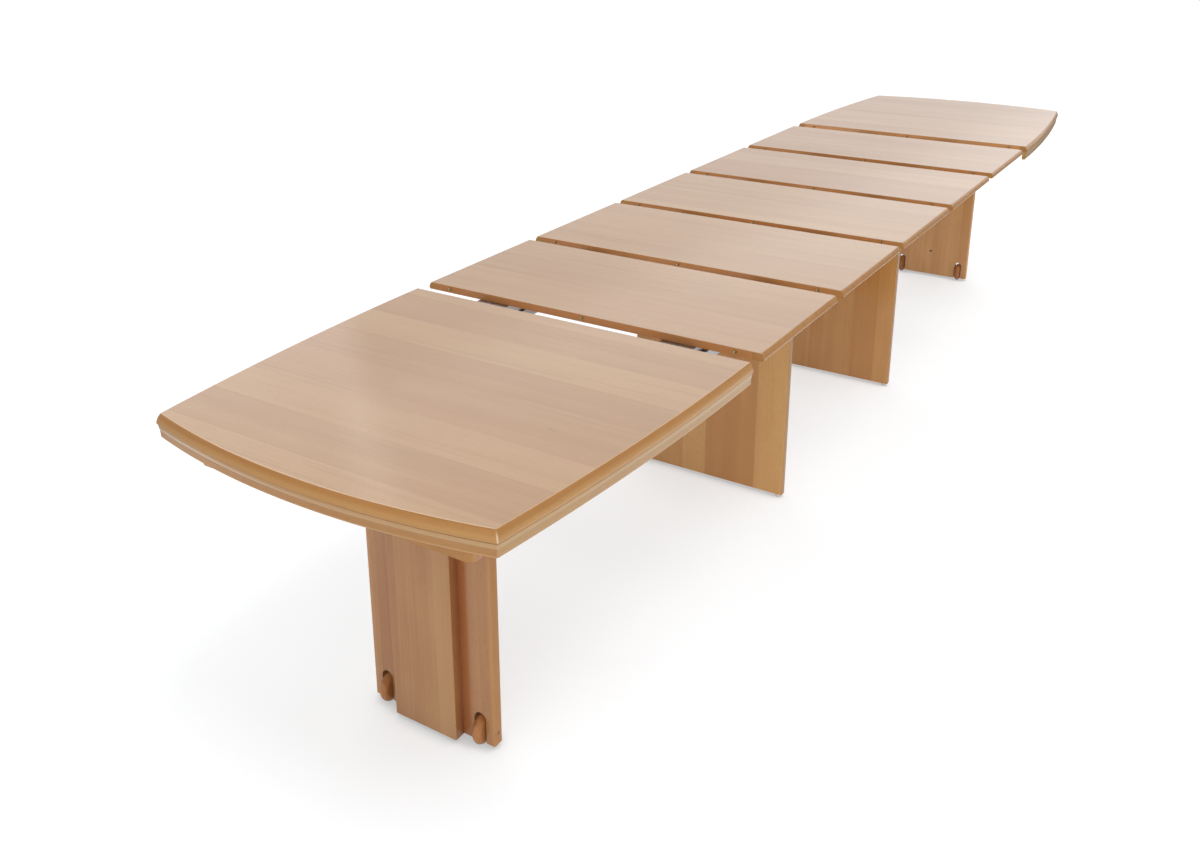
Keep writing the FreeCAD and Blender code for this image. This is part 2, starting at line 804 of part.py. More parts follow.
def support_panel(name):
    """Plain panel with eased upright edges, drilled underneath for its glides."""
    edge = "support_edge_radius"
    plan = rounded_plan("support_thickness", "support_width", edge, edge)
    body = extruded("XY_Plane", [plan], f"{stand_top(name)} - floor_clearance")
    place(body, STAND_X[name], "0", "floor_clearance")
    hole = "glide_stem_radius + glide_fit"
    depth = "glide_stem_length + glide_fit"
    drill = cylinder(STAND_X[name], GLIDE_Y, "floor_clearance", hole, depth)
    return cut(body, [drill, mirror(drill, ACROSS)])


def glides(name):
    """Nylon feet with stems let into the foot of a support."""
    stem_top = "floor_clearance + glide_stem_length"
    profile = [
        ("0", "0"),
        ("glide_radius - glide_chamfer", "0"),
        ("glide_radius", "glide_chamfer"),
        ("glide_radius", "floor_clearance"),
        ("glide_stem_radius", "floor_clearance"),
        ("glide_stem_radius", stem_top),
        ("0", stem_top),
    ]
    left = place(turned("XZ_Plane", profile), STAND_X[name], GLIDE_Y, "0")
    return group([left, mirror(left, ACROSS)])


for name in ("near_support", "far_support"):
    keep(f"{name}_panel", support_panel(name))
    keep(f"{name}_glides", glides(name))

# Check every object, then write the sub-parts

doc.removeObject(gauge.Name)
doc.recompute()
for item in doc.Objects:
    if "Invalid" in item.State or "Error" in item.State:
        raise RuntimeError(f"{item.Label} failed: {item.State}")
for label, item in pieces.items():
    if item.Shape.isNull() or not item.Shape.isValid() or not item.Shape.Solids:
        raise RuntimeError(f"{label} has no valid solid")

os.makedirs("parts", exist_ok=True)
for label, item in pieces.items():
    item.Shape.exportStep(f"parts/{label}.step")
    print(label, len(item.Shape.Solids), round(item.Shape.Volume / 1000, 1), "cm3")
whole = Part.makeCompound([item.Shape for item in pieces.values()])
extent = whole.optimalBoundingBox(False)
overall = (extent.XLength, extent.YLength, extent.ZLength)
print(len(pieces), "sub-parts", [round(size, 1) for size in overall])
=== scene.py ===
# %% [markdown]
# # A beech table drawn out on its runners
# The table has two boat-shaped end leaves on rolling legs, five insert leaves
# that stand a few centimetres apart, and two fixed supports. The CAD model
# gives every part its place and its movement. This lesson dresses it: each
# moulding, top and wheel gets a finer surface, and every part its own finish.
# The frame comes first, so that all later sizes can be read from it.

# %% Load the frame
import math

import bpy
import numpy as np
from mathutils import Matrix, Quaternion, Vector


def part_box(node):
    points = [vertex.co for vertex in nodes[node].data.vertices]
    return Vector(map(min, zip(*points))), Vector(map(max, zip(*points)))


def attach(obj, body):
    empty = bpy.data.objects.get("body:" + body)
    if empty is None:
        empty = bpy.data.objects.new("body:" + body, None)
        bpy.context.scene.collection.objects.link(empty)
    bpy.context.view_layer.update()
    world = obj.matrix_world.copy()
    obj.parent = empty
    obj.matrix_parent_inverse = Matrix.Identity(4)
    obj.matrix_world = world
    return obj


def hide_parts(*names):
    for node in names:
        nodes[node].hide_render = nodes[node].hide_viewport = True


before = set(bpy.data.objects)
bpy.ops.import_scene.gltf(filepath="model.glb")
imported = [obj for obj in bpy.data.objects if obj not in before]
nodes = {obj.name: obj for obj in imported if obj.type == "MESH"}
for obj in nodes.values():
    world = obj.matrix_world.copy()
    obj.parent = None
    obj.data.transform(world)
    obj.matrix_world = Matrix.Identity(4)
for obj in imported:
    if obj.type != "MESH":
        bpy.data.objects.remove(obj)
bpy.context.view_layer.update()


def span(node):
    """The lowest and highest corners of a CAD node as two arrays, in metres."""
    low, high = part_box(node)
    return np.array(low, float), np.array(high, float)


# %% [markdown]
# ## Skinning a grid of points
# Nearly every new piece here is a ring of points carried through a row of
# stations: a moulding is its section carried round an arc, a wheel is a ring
# carried round its section, a top is its outline carried down through a few
# levels. One function can skin them all. It joins each station to the next
# with quads, closes the ring on itself, and either caps the two end stations
# or joins the last to the first. A UV map keeps the lengths along and round
# the grid, in metres, so that wood grain can follow a curved moulding.

# %% Skin and piece
def skin(points, joined=False):
    """Faces and corner UVs of the grid P(station, ring): quads between
    neighbours, the ring closed, the ends capped, or joined to each other."""
    stations, ring, _ = points.shape
    index = np.arange(stations * ring).reshape(stations, ring)
    rows = np.arange(stations if joined else stations - 1)
    below, above = index[rows], index[(rows + 1) % stations]
    quads = np.stack([below, np.roll(below, -1, 1), np.roll(above, -1, 1), above], -1)
    step_round = np.linalg.norm(np.roll(points, -1, 1) - points, axis=2).mean(0)
    step_along = np.linalg.norm(np.roll(points, -1, 0) - points, axis=2).mean(1)
    round_ = np.concatenate([[0.0], np.cumsum(step_round)])
    along = np.concatenate([[0.0], np.cumsum(step_along)])
    v0, v1 = np.broadcast_arrays(round_[None, :-1], round_[None, 1:])
    u0, u1 = along[rows][:, None], along[rows + 1][:, None]
    u0, u1, v0, v1 = np.broadcast_arrays(u0, u1, v0, v1)
    corner_uv = np.stack([np.stack([u0, v0], -1), np.stack([u0, v1], -1),
                          np.stack([u1, v1], -1), np.stack([u1, v0], -1)], -2)
    faces = quads.reshape(-1, 4).tolist()
    uvs = list(corner_uv.reshape(-1, 4, 2))
    if not joined:
        for cap, at in ((index[0][::-1], 0.0), (index[-1], along[stations - 1])):
            spread = points.reshape(-1, 3)[cap]
            spread = spread - spread.mean(0)
            faces.append(cap.tolist())
            uvs.append(np.stack([at + 0 * spread[:, 0], spread[:, 2]], -1))
    return points.reshape(-1, 3), faces, uvs


def volume(verts, faces):
    """Signed volume of a closed skin: the sum over all fan triangles of the
    triple product of their corners, over six."""
    fans = np.array([(f[0], b, c) for f in faces for b, c in zip(f[1:-1], f[2:])])
    a, b, c = (verts[fans[:, k]] for k in range(3))
    return float(np.einsum("ij,ij->i", a, np.cross(b, c)).sum() / 6)


SMOOTH_ANGLE = math.radians(32)   # corners sharper than this stay crisp


def make_piece(name, grids, body, replaced=(), joined=False):
    """One object from one or more grids, its faces turned outwards."""
    verts, faces, uvs, start = [], [], [], 0
    for points in grids:
        v, f, uv = skin(points, joined)
        if volume(v - v.mean(0), f) < 0:
            f = [face[::-1] for face in f]
            uv = [corner[::-1] for corner in uv]
        verts.append(v)
        faces += [[i + start for i in face] for face in f]
        uvs += uv
        start += len(v)
    mesh = bpy.data.meshes.new(name)
    mesh.from_pydata(np.concatenate(verts).tolist(), [], faces)
    layer = mesh.uv_layers.new(name="UVMap")
    layer.uv.foreach_set("vector", np.concatenate(uvs).astype(np.float32).ravel())
    mesh.polygons.foreach_set("use_smooth", [True] * len(faces))
    mesh.set_sharp_from_angle(angle=SMOOTH_ANGLE)
    mesh.update()
    piece = bpy.data.objects.new(name, mesh)
    bpy.context.scene.collection.objects.link(piece)
    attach(piece, body)
    if replaced:
        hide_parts(*replaced)
    return piece


MM = 0.001
print("smooth below", round(math.degrees(SMOOTH_ANGLE)), "degrees")

# %% [markdown]
# ## The boat plan of the end leaves
# Each end leaf is a joiner's boat shape: straight across at the joint, its
# sides drawn in by long arcs, its end bowed out by a shorter arc. A side arc
# leaves the joint square to it, so its radius follows from the taper alone,
# (length^2 + taper^2) / (2 taper), and the end arc's from the bow in the same
# way. Plan points are (p, q): p runs outwards from the joint, q to the left.

# %% Plan values
END_BOW = 50 * MM      # the end arc beyond its corners
END_TAPER = 55 * MM    # what each side draws in by
near_low, near_high = span("near_board")
half_width = near_high[1]
leaf_length = near_high[0] - near_low[0] - END_BOW
corner = np.array([leaf_length, half_width - END_TAPER])
side_radius = (leaf_length**2 + END_TAPER**2) / (2 * END_TAPER)
end_radius = (corner[1]**2 + END_BOW**2) / (2 * END_BOW)
side_centre = np.array([0.0, half_width - side_radius])
end_centre = np.array([leaf_length + END_BOW - end_radius, 0.0])
side_turn = math.asin(leaf_length / side_radius)
end_turn = math.asin(corner[1] / end_radius)
top_z = near_high[2]
print("side radius", round(side_radius, 4), "end radius", round(end_radius, 4))

# %% [markdown]
# ## Mouldings round the end leaves
# The edge of each end leaf is a solid strip with a soft arris, a convex face
# that leans outwards and a small toe. Below it, past a fine groove, runs an
# apron whose upper band leans in. The strips are mitred where side and end
# meet, and the corner is sanded to a small round. A bevelled curve would lose
# the mitre, so each fibre of the section is carried along its own concentric
# arc to the mitre plane, and turns through the last few millimetres.

# %% Sections
def arc(start, end, radius, count):
    """Points on the arc of that radius from start to end, bulging to the left
    of the way travelled: centre + radius (cos a, sin a), a evenly spread."""
    start, end = np.array(start, float), np.array(end, float)
    chord = end - start
    length = np.linalg.norm(chord)
    normal = np.array([-chord[1], chord[0]]) / length
    centre = (start + end) / 2 - normal * math.sqrt(radius**2 - length**2 / 4)
    first = math.atan2(*(start - centre)[::-1])
    half = math.asin(length / 2 / radius)
    angles = first - np.linspace(0, 2 * half, count)
    return centre + radius * np.stack([np.cos(angles), np.sin(angles)], -1)


ARRIS = 3.8             # how far the rounded top edge reaches into the leaf
VENEER = 0.8            # thickness of the veneer that laps over the strips
SEAM = -22.4            # where the edge strip sits on the apron
BAND_END = -35.5        # the apron's upper band leans in down to here
FOOT_DROP = 1.6         # the dressed apron hangs this much lower than the solid
FOOT = (span("near_end_apron")[0][2] - top_z) / MM - FOOT_DROP
# Section points are (outwards, upwards) from the leaf's arris, in millimetres.
STRIP_BACK, SKIRT_BACK = -22, -9.5
ARRIS_FOOT, TOE = (-0.16, -1.854), (7.4, -20.6)
LIP, HEEL = (4.6, SEAM - 1.3), (2.4, FOOT + 2.4)
EDGE_SECTION = np.concatenate([
    [[STRIP_BACK, SEAM], [STRIP_BACK, -VENEER], [-ARRIS, -VENEER]],
    arc((-ARRIS, 0), ARRIS_FOOT, 4.5, 9),
    arc(ARRIS_FOOT, TOE, 42, 16)[1:],
    arc(TOE, (5.6, SEAM), 1.8, 6)[1:],
]) * MM
SKIRT_SECTION = np.concatenate([
    [[SKIRT_BACK, FOOT], [SKIRT_BACK, SEAM], [2.2, SEAM], LIP],
    arc(LIP, (5.3, SEAM - 2.2), 1.0, 4)[1:],
    [[3.2, BAND_END], [3.0, BAND_END - 0.4], HEEL],
    arc(HEEL, (0.2, FOOT), 2.6, 5)[1:],
]) * MM
print("edge section points", len(EDGE_SECTION), "skirt", len(SKIRT_SECTION))

# %% Mitres
side_normal = np.array([math.sin(side_turn), math.cos(side_turn)])
end_normal = np.array([math.cos(end_turn), math.sin(end_turn)])
bisector = (side_normal + end_normal) / np.linalg.norm(side_normal + end_normal)
mitre_normal = np.array([-bisector[1], bisector[0]])


def mitre_turn(centre, radii, start, point_at):
    """The angle at which each concentric arc meets the mitre plane, found by
    Newton's rule on the distance (centre + r n(angle) - corner) . normal."""
    angle = np.full_like(radii, start)
    small = 1e-5
    for _ in range(5):
        gap = (centre + radii[:, None] * point_at(angle) - corner) @ mitre_normal
        ahead = (centre + radii[:, None] * point_at(angle + small) - corner) @ mitre_normal
        angle = angle - gap * small / (ahead - gap)
    return angle


def from_side(angle):
    """Outward unit vectors of the side arc."""
    return np.stack([np.sin(angle), np.cos(angle)], -1)


def from_end(angle):
    """Outward unit vectors of the end arc."""
    return np.stack([np.cos(angle), np.sin(angle)], -1)


half_mitre = math.acos(side_normal @ end_normal) / 2
print("half the mitre's turn", round(math.degrees(half_mitre), 2), "degrees")

# %% The carried section
CORNER_ROUND = 4.0 * MM     # the sanded corner where two mitred strips meet


def fibres(out, which, stations, start=0.0):
    """Plan paths of the fibres that lie so far outside the arris. Each follows
    centre + (R + out) n(t), stops r tan(m) short of the mitre, m being half
    the mitre's turn, and then turns by m on a small arc of radius r, which
    brings it onto the mitre plane: T - r n + r (n cos a + t sin a)."""
    centre, radii, point_at, meet = side_centre, side_radius + out, from_side, side_turn
    if which == "end":
        centre, radii, point_at, meet = end_centre, end_radius + out, from_end, end_turn
    last = mitre_turn(centre, radii, meet, point_at) - CORNER_ROUND * math.tan(half_mitre) / radii
    first = -last if which == "end" else np.arcsin(start / radii)
    s = np.linspace(0, 1, stations)[:, None]
    run = centre + radii[None, :, None] * point_at(first + s * (last - first))
    normal, travel = point_at(last), point_at(last + math.pi / 2)
    a = np.linspace(0, half_mitre, 6)[1:, None, None]
    bend = run[-1] - CORNER_ROUND * normal + CORNER_ROUND * (normal * np.cos(a) + travel * np.sin(a))
    if which == "end":
        return np.concatenate([bend[::-1] * [1, -1], run, bend])
    return np.concatenate([run, bend])


def carried(section, which, stations):
    """The section carried along its fibres: every point of the section keeps
    its own height and follows its own path."""
    plan = fibres(section[:, 0], which, stations)
    height = np.broadcast_to(top_z + section[:, 1], plan.shape[:2])
    return np.concatenate([plan, height[..., None]], -1)


def placed(grid, end, side=1):
    """Plan points of a leaf moved to the near or far end, and mirrored to the
    right-hand side where side is -1."""
    low, high = span(f"{end}_board")
    outwards = -1 if end == "near" else 1
    joint = high[0] if end == "near" else low[0]
    return np.stack([joint + outwards * grid[..., 0], side * grid[..., 1], grid[..., 2]], -1)


print("corners rounded to", CORNER_ROUND / MM, "mm")

# %% Make the mouldings
mouldings = []
MOULDED = {"end": (1, 61), "left": (1, 41), "right": (-1, 41)}      # side and stations of each strip
for end in ("near", "far"):
    for where, (side, stations) in MOULDED.items():
        for name, section, node in (("edge", EDGE_SECTION, "lipping"),
                                    ("skirt", SKIRT_SECTION, "apron")):
            grid = placed(carried(section, where, stations), end, side)
            mouldings.append(make_piece(f"{end}_{where}_{name}", [grid], f"{end}_end",
                                        [f"{end}_{where}_{node}"]))
print("mouldings:", len(mouldings))

# %% [markdown]
# ## The tops
# Each top is a thick board faced with veneer that laps over the edge strips.
# Its outline is carried down through a few levels: the flat face, a small
# rounding at the joint edges, the veneer's lower face, then the core between
# the strips. A scaled outline would not keep an even margin, so the outline
# is made of the mouldings' own fibres, taken an inset inside the arris.

# %% Outlines
def boat_outline(inset, joint_inset, count=40):
    """The end leaf's outline as one ring: the fibres that lie the inset inside
    the arris, up the left side, round the end and back down the right side."""
    inside = np.array([-inset])
    left = fibres(inside, "left", count, joint_inset)[:, 0]
    bow = fibres(inside, "end", count)[::-1, 0]
    right = left[::-1] * [1, -1]
    return np.concatenate([left, bow[1:-1], right])


def plain_outline(inset, joint_inset, low, high, count=12):
    """A rectangle as one ring, drawn in by the two insets."""
    s = np.linspace(0, 1, count)[:-1, None]
    a = np.array([low[0] + joint_inset, low[1] + inset])
    c = np.array([high[0] - joint_inset, high[1] - inset])
    ring = [a, [c[0], a[1]], c, [a[0], c[1]], a]
    return np.concatenate([p + s * (np.array(q) - p) for p, q in zip(map(np.array, ring), ring[1:])])


def levels(outline, steps):
    """The outline at each (inset, joint inset, depth) step, one ring each."""
    return np.stack([np.column_stack([ring, np.full(len(ring), top_z - depth)])
                     for ring, depth in ((outline(i * MM, j * MM), d * MM) for i, j, d in steps)])


CORE = (22.2, 12)                       # the core's two insets, between the strips
END_CORE, INSERT_CORE = 19, 18.7        # how deep the cores reach
# Steps are (inset, joint inset, depth), in millimetres.
END_STEPS = [(ARRIS + 2, 3, 0), (ARRIS, 0.7, 0), (ARRIS, 0.2, 0.2), (ARRIS, 0, 0.7),
             (ARRIS, 0, VENEER), (*CORE, VENEER), (*CORE, END_CORE)]
INSERT_STEPS = [(5, 3, 0), (2.6, 0.7, 0), (1.7, 0.4, 0.08), (0.9, 0.2, 0.24), (0.3, 0.05, 0.5),
                (0, 0, VENEER), (*CORE, VENEER), (*CORE, INSERT_CORE)]
print("levels of a top:", len(END_STEPS), "and", len(INSERT_STEPS))

# %% Make the tops
INSERT_BODIES = {1: "leaf_1", 2: "near_support", 3: "leaf_3", 4: "far_support", 5: "leaf_5"}
tops = []
for end in ("near", "far"):
    grid = placed(levels(boat_outline, END_STEPS), end)
    tops.append(make_piece(f"{end}_top", [grid], f"{end}_end", [f"{end}_board"]))
for number, body in INSERT_BODIES.items():
    low, high = span(f"leaf_{number}_board")
    grid = levels(lambda i, j: plain_outline(i, j, low, high), INSERT_STEPS)
    tops.append(make_piece(f"leaf_{number}_top", [grid], body, [f"leaf_{number}_board"]))
print("tops:", [t.name for t in tops])

# %% [markdown]
# ## Turned parts
# Wheels, pins and screws are turned on a lathe, so each is a ring carried
# round a section. The wooden wheels have a crowned rim, which a plain cylinder
# lacks, and a bore, so their section closes on itself. The brass pins taper
# to a blunt point that finds its socket as the leaves close.

# %% Lathe
def turned(section, centre, axis, count):
    """P(v, a): the section's radius r(v) swung round the axis through the
    centre, its other value carried along the axis."""
    angle = np.linspace(0, 2 * math.pi, count, endpoint=False)
    along = np.array(axis, float)
    side = np.array([0, 0, 1.0]) if abs(along[2]) < 0.5 else np.array([0, 1.0, 0])
    third = np.cross(along, side)
    r, w = section[:, 0, None, None], section[:, 1, None, None]
    ring = np.cos(angle)[None, :, None] * side + np.sin(angle)[None, :, None] * third
    return np.array(centre) + w * along + r * ring


ROUND_PARTS = {"wheel": 64, "pin": 28, "screw": 36}      # points round each turned part
print("points round:", ROUND_PARTS)

# %% Wheels
WHEEL_BORE, BORE_BEVEL = 4.1, 1.2
RIM_SLIM = 1.6          # the dressed wheel is slimmer by this on each side
RIM_DROP = 14.0         # how far the rim falls from its crown to its sides
CROWN_POWER = 1.6       # 2 would be a round crown, less is a sharper one
wheel_low, wheel_high = span("near_left_wheel")
wheel_radius = (wheel_high[2] - wheel_low[2]) / 2 / MM
half_rim = (wheel_high[1] - wheel_low[1]) / 2 / MM - RIM_SLIM
rim = np.linspace(1, -1, 29)
crown = wheel_radius - RIM_DROP * np.abs(rim) ** CROWN_POWER
WHEEL_SECTION = np.concatenate([
    [[WHEEL_BORE, -half_rim + BORE_BEVEL], [WHEEL_BORE, half_rim - BORE_BEVEL]],
    [[WHEEL_BORE + BORE_BEVEL, half_rim]],
    np.stack([crown, half_rim * (1.5 * rim - 0.5 * rim**3)], -1),
    [[WHEEL_BORE + BORE_BEVEL, -half_rim]],
]) * MM
wheels = []
for end in ("near", "far"):
    for side in ("left", "right"):
        name = f"{end}_{side}_wheel"
        centre = sum(span(name)) / 2
        grid = turned(WHEEL_SECTION, centre, (0, 1, 0), ROUND_PARTS["wheel"])
        wheels.append(make_piece(f"{end}_{side}_roller", [grid], name, [name], joined=True))
print("wheels:", len(wheels), "radius", round(wheel_radius, 1), "mm")

# %% Pins
PIN_RADIUS, PIN_NOSE, PIN_TIP, PIN_BEVEL = 4.0, 8.5, 1.3, 0.4
pins = []
pin_bodies = {f"leaf_{n}_pins": body for n, body in INSERT_BODIES.items()} | {"far_pins": "far_end"}
for name, body in pin_bodies.items():
    low, high = span(name)
    length = (high[0] - low[0]) / MM
    nose = np.linspace(0, 1, 8)
    section = np.concatenate([
        [[PIN_RADIUS - PIN_BEVEL, 0], [PIN_RADIUS, PIN_BEVEL], [PIN_RADIUS, length - PIN_NOSE - 0.5]],
        np.stack([PIN_RADIUS - (PIN_RADIUS - PIN_TIP) * nose,
                  length - PIN_NOSE + (PIN_NOSE - 0.9) * nose], -1),
        [[0.8, length - 0.25], [0.3, length]],
    ]) * MM
    middle, rise = (low[1] + high[1]) / 2, (low[2] + high[2]) / 2
    reach = (high[1] - low[1]) / 2 - PIN_RADIUS * MM
    grids = [turned(section, (high[0], middle + k * reach, rise), (-1, 0, 0), ROUND_PARTS["pin"])
             for k in (-1, 0, 1)]
    pins.append(make_piece(name.replace("pins", "dowels"), grids, body, [name]))
print("pin sets:", len(pins), "length", round(length, 1), "mm")

# %% [markdown]
# ## Screws
# Pan-head screws hold each bearer to its runners from below, and two darker
# ones in each leg hold the block. A head is a lathe shape except for its
# socket, where the ring becomes a hexagon: its radius at angle a is the flat
# distance over cos of the angle to the nearest flat.

# %% Screw heads
HEAD = [(6.0, 0), (6.0, 0.7), (5.6, 1.5), (4.6, 2.1), (3.4, 2.4)]
SOCKET_FLAT = 2.0
SOCKET_LEVELS = (2.4, 0.8)      # the socket's mouth and its floor


def screw(centre, axis, scale=1.0):
    """A head with a hexagonal socket, standing on the centre along the axis."""
    count = ROUND_PARTS["screw"]
    base = turned(np.array(HEAD) * MM * scale, centre, axis, count)
    angle = np.linspace(0, 2 * math.pi, count, endpoint=False)
    flat = np.cos((angle + math.pi / 6) % (math.pi / 3) - math.pi / 6)
    hexed = []
    for level in SOCKET_LEVELS:
        ring = turned(np.array([[SOCKET_FLAT, level]]) * MM * scale, (0, 0, 0), axis, count)[0]
        up = np.array(axis, float) * level * MM * scale
        hexed.append(np.array(centre) + up + (ring - up) / flat[:, None])
    return np.concatenate([base, np.stack(hexed)])


# %% Make the screws
STANDS = {      # body and runners of each stand
    "near_leg": ("near_end", "near_runners"),
    "near_support": ("near_support", "near_support_runners"),
    "far_support": ("far_support", "far_support_runners"),
    "far_leg": ("far_end", "far_runners"),
}
SCREW_STEP = 25 * MM
LANE = 44 * MM          # width of one runner
screws = []
for stand, (body, runners) in STANDS.items():
    low, high = span(f"{stand}_bearer")
    x = (low[0] + high[0]) / 2
    lane = span(runners)[1][1] - LANE / 2
    grids = [screw((x + dx, dy, low[2]), (0, 0, -1))
             for dx in (-SCREW_STEP, SCREW_STEP) for dy in (-lane, lane)]
    screws.append(make_piece(f"{stand}_bearer_screws", grids, body))
BLOCK_SCREWS = (120 * MM, 560 * MM)     # heights of the screws that hold the leg blocks
BLOCK_SCREW_SCALE = 0.8
leg_screws = []
for end in ("near", "far"):
    low, high = span(f"{end}_leg_panel")
    face, axis = (high[0], (1, 0, 0)) if end == "near" else (low[0], (-1, 0, 0))
    grids = [screw((face, 0, z), axis, BLOCK_SCREW_SCALE) for z in BLOCK_SCREWS]
    leg_screws.append(make_piece(f"{end}_block_screws", grids, f"{end}_end"))
print("screw sets:", len(screws), "and", len(leg_screws))

# %% [markdown]
# ## Writing finishes as sums
# A finish is a small program on the surface. To keep it readable, one class
# wraps a socket, so that adding, multiplying or comparing signals adds the
# Math nodes, and a second one holds the material and adds any other node.

# %% Signal
class Signal:
    """One output socket of a finish. Arithmetic on it adds Math nodes."""

    def __init__(self, finish, socket):
        self.finish, self.socket = finish, socket

    def maths(self, operation, first, second):
        return self.finish.node("ShaderNodeMath", {"operation": operation}, {0: first, 1: second})

    def beside(self, name):
        """Another output of the same node."""
        return Signal(self.finish, self.socket.node.outputs[name])

    def __add__(self, other):
        return self.maths("ADD", self, other)

    def __radd__(self, other):
        return self.maths("ADD", other, self)

    def __sub__(self, other):
        return self.maths("SUBTRACT", self, other)

    def __rsub__(self, other):
        return self.maths("SUBTRACT", other, self)

    def __mul__(self, other):
        return self.maths("MULTIPLY", self, other)

    def __rmul__(self, other):
        return self.maths("MULTIPLY", other, self)

    def __gt__(self, other):
        return self.maths("GREATER_THAN", self, other)

    def __abs__(self):
        return self.maths("ABSOLUTE", self, 0.0)


print("operators:", [name for name in vars(Signal) if name.startswith("__") and name != "__init__"])


# %% Finish
class Finish:
    """A material that is being written."""

    def __init__(self, name, owner=None):
        self.owner = owner or bpy.data.materials.new(name)
        self.owner.use_nodes = True
        self.tree = self.owner.node_tree
        self.tree.nodes.clear()

    def node(self, kind, settings=None, sockets=None, out=0):
        """Any node: its type, its settings, then the values or links of its
        sockets. Gives back one output."""
        made = self.tree.nodes.new(kind)
        for key, value in (settings or {}).items():
            setattr(made, key, value)
        for key, value in (sockets or {}).items():
            if isinstance(value, Signal):
                self.tree.links.new(value.socket, made.inputs[key])
            else:
                made.inputs[key].default_value = value
        return Signal(self, made.outputs[out]) if made.outputs else made

    def point(self, x, y, z):
        return self.node("ShaderNodeCombineXYZ", {}, {0: x, 1: y, 2: z})

    def axes(self):
        """Object coordinates as three signals."""
        place = self.node("ShaderNodeTexCoord", {}, {}, "Object")
        x = self.node("ShaderNodeSeparateXYZ", {}, {0: place})
        return x, x.beside("Y"), x.beside("Z")

    def lengths(self):
        """The UV map as two signals: along the piece and round its section."""
        uv = self.node("ShaderNodeUVMap", {"uv_map": "UVMap"})
        u = self.node("ShaderNodeSeparateXYZ", {}, {0: uv})
        return u, u.beside("Y")

    def noise(self, x, y, z, detail=2.0, roughness=0.5):
        return self.node("ShaderNodeTexNoise", {}, {
            "Vector": self.point(x, y, z), "Scale": 1.0, "Detail": detail, "Roughness": roughness})

    def fade(self, signal, low, high):
        """0 below low, 1 above high, a smooth step between."""
        return self.node("ShaderNodeMapRange", {"interpolation_type": "SMOOTHSTEP"}, {
            "Value": signal, "From Min": low, "From Max": high})

    def between(self, signal, rise, fall):
        """0 outside, 1 inside: a smooth step up over rise, another down over
        fall, each given as its start and its end."""
        return self.fade(signal, *rise) * (1 - self.fade(signal, *fall))

    def blend(self, amount, first, second):
        return self.node("ShaderNodeMix", {"data_type": "RGBA"}, {0: amount, 6: first, 7: second}, 2)

    def surface(self, **sockets):
        """The finished surface, from Principled sockets named in words."""
        shader = self.node("ShaderNodeBsdfPrincipled", {}, {
            key.replace("_", " "): value for key, value in sockets.items()})
        self.node("ShaderNodeOutputMaterial", {}, {"Surface": shader})
        return self.owner


def colour(red, green, blue):
    """A colour as seen on screen (0 to 255) as the linear values a shader uses."""
    c = np.array([red, green, blue]) / 255
    linear = np.where(c <= 0.04045, c / 12.92, ((c + 0.055) / 1.055) ** 2.4)
    return (*linear.tolist(), 1.0)


print("tools ready")

# %% [markdown]
# ## Beech
# Beech is even and fine: soft wide bands where the growth rings are cut at a
# low angle, thin lines along the grain, short dark flecks, and a change of
# tone from one glued strip or veneer leaf to the next. A picture of wood
# would be quick but stretches on curves, so the pattern is computed from the
# place in the timber: noise drawn out along the grain, at four widths, with
# a shift of its own for every strip.

# %% Beech pattern
FULL_COAT = 0.95
LINES, FIBRES, SPECKS = 190.0, 1000.0, 620.0        # noise steps per metre across the grain
DARKER = 0.62                                       # lines and flecks against the warm tone
ROSIER = (1.0, 0.9, 0.93)                           # reddish staves against the warm tone


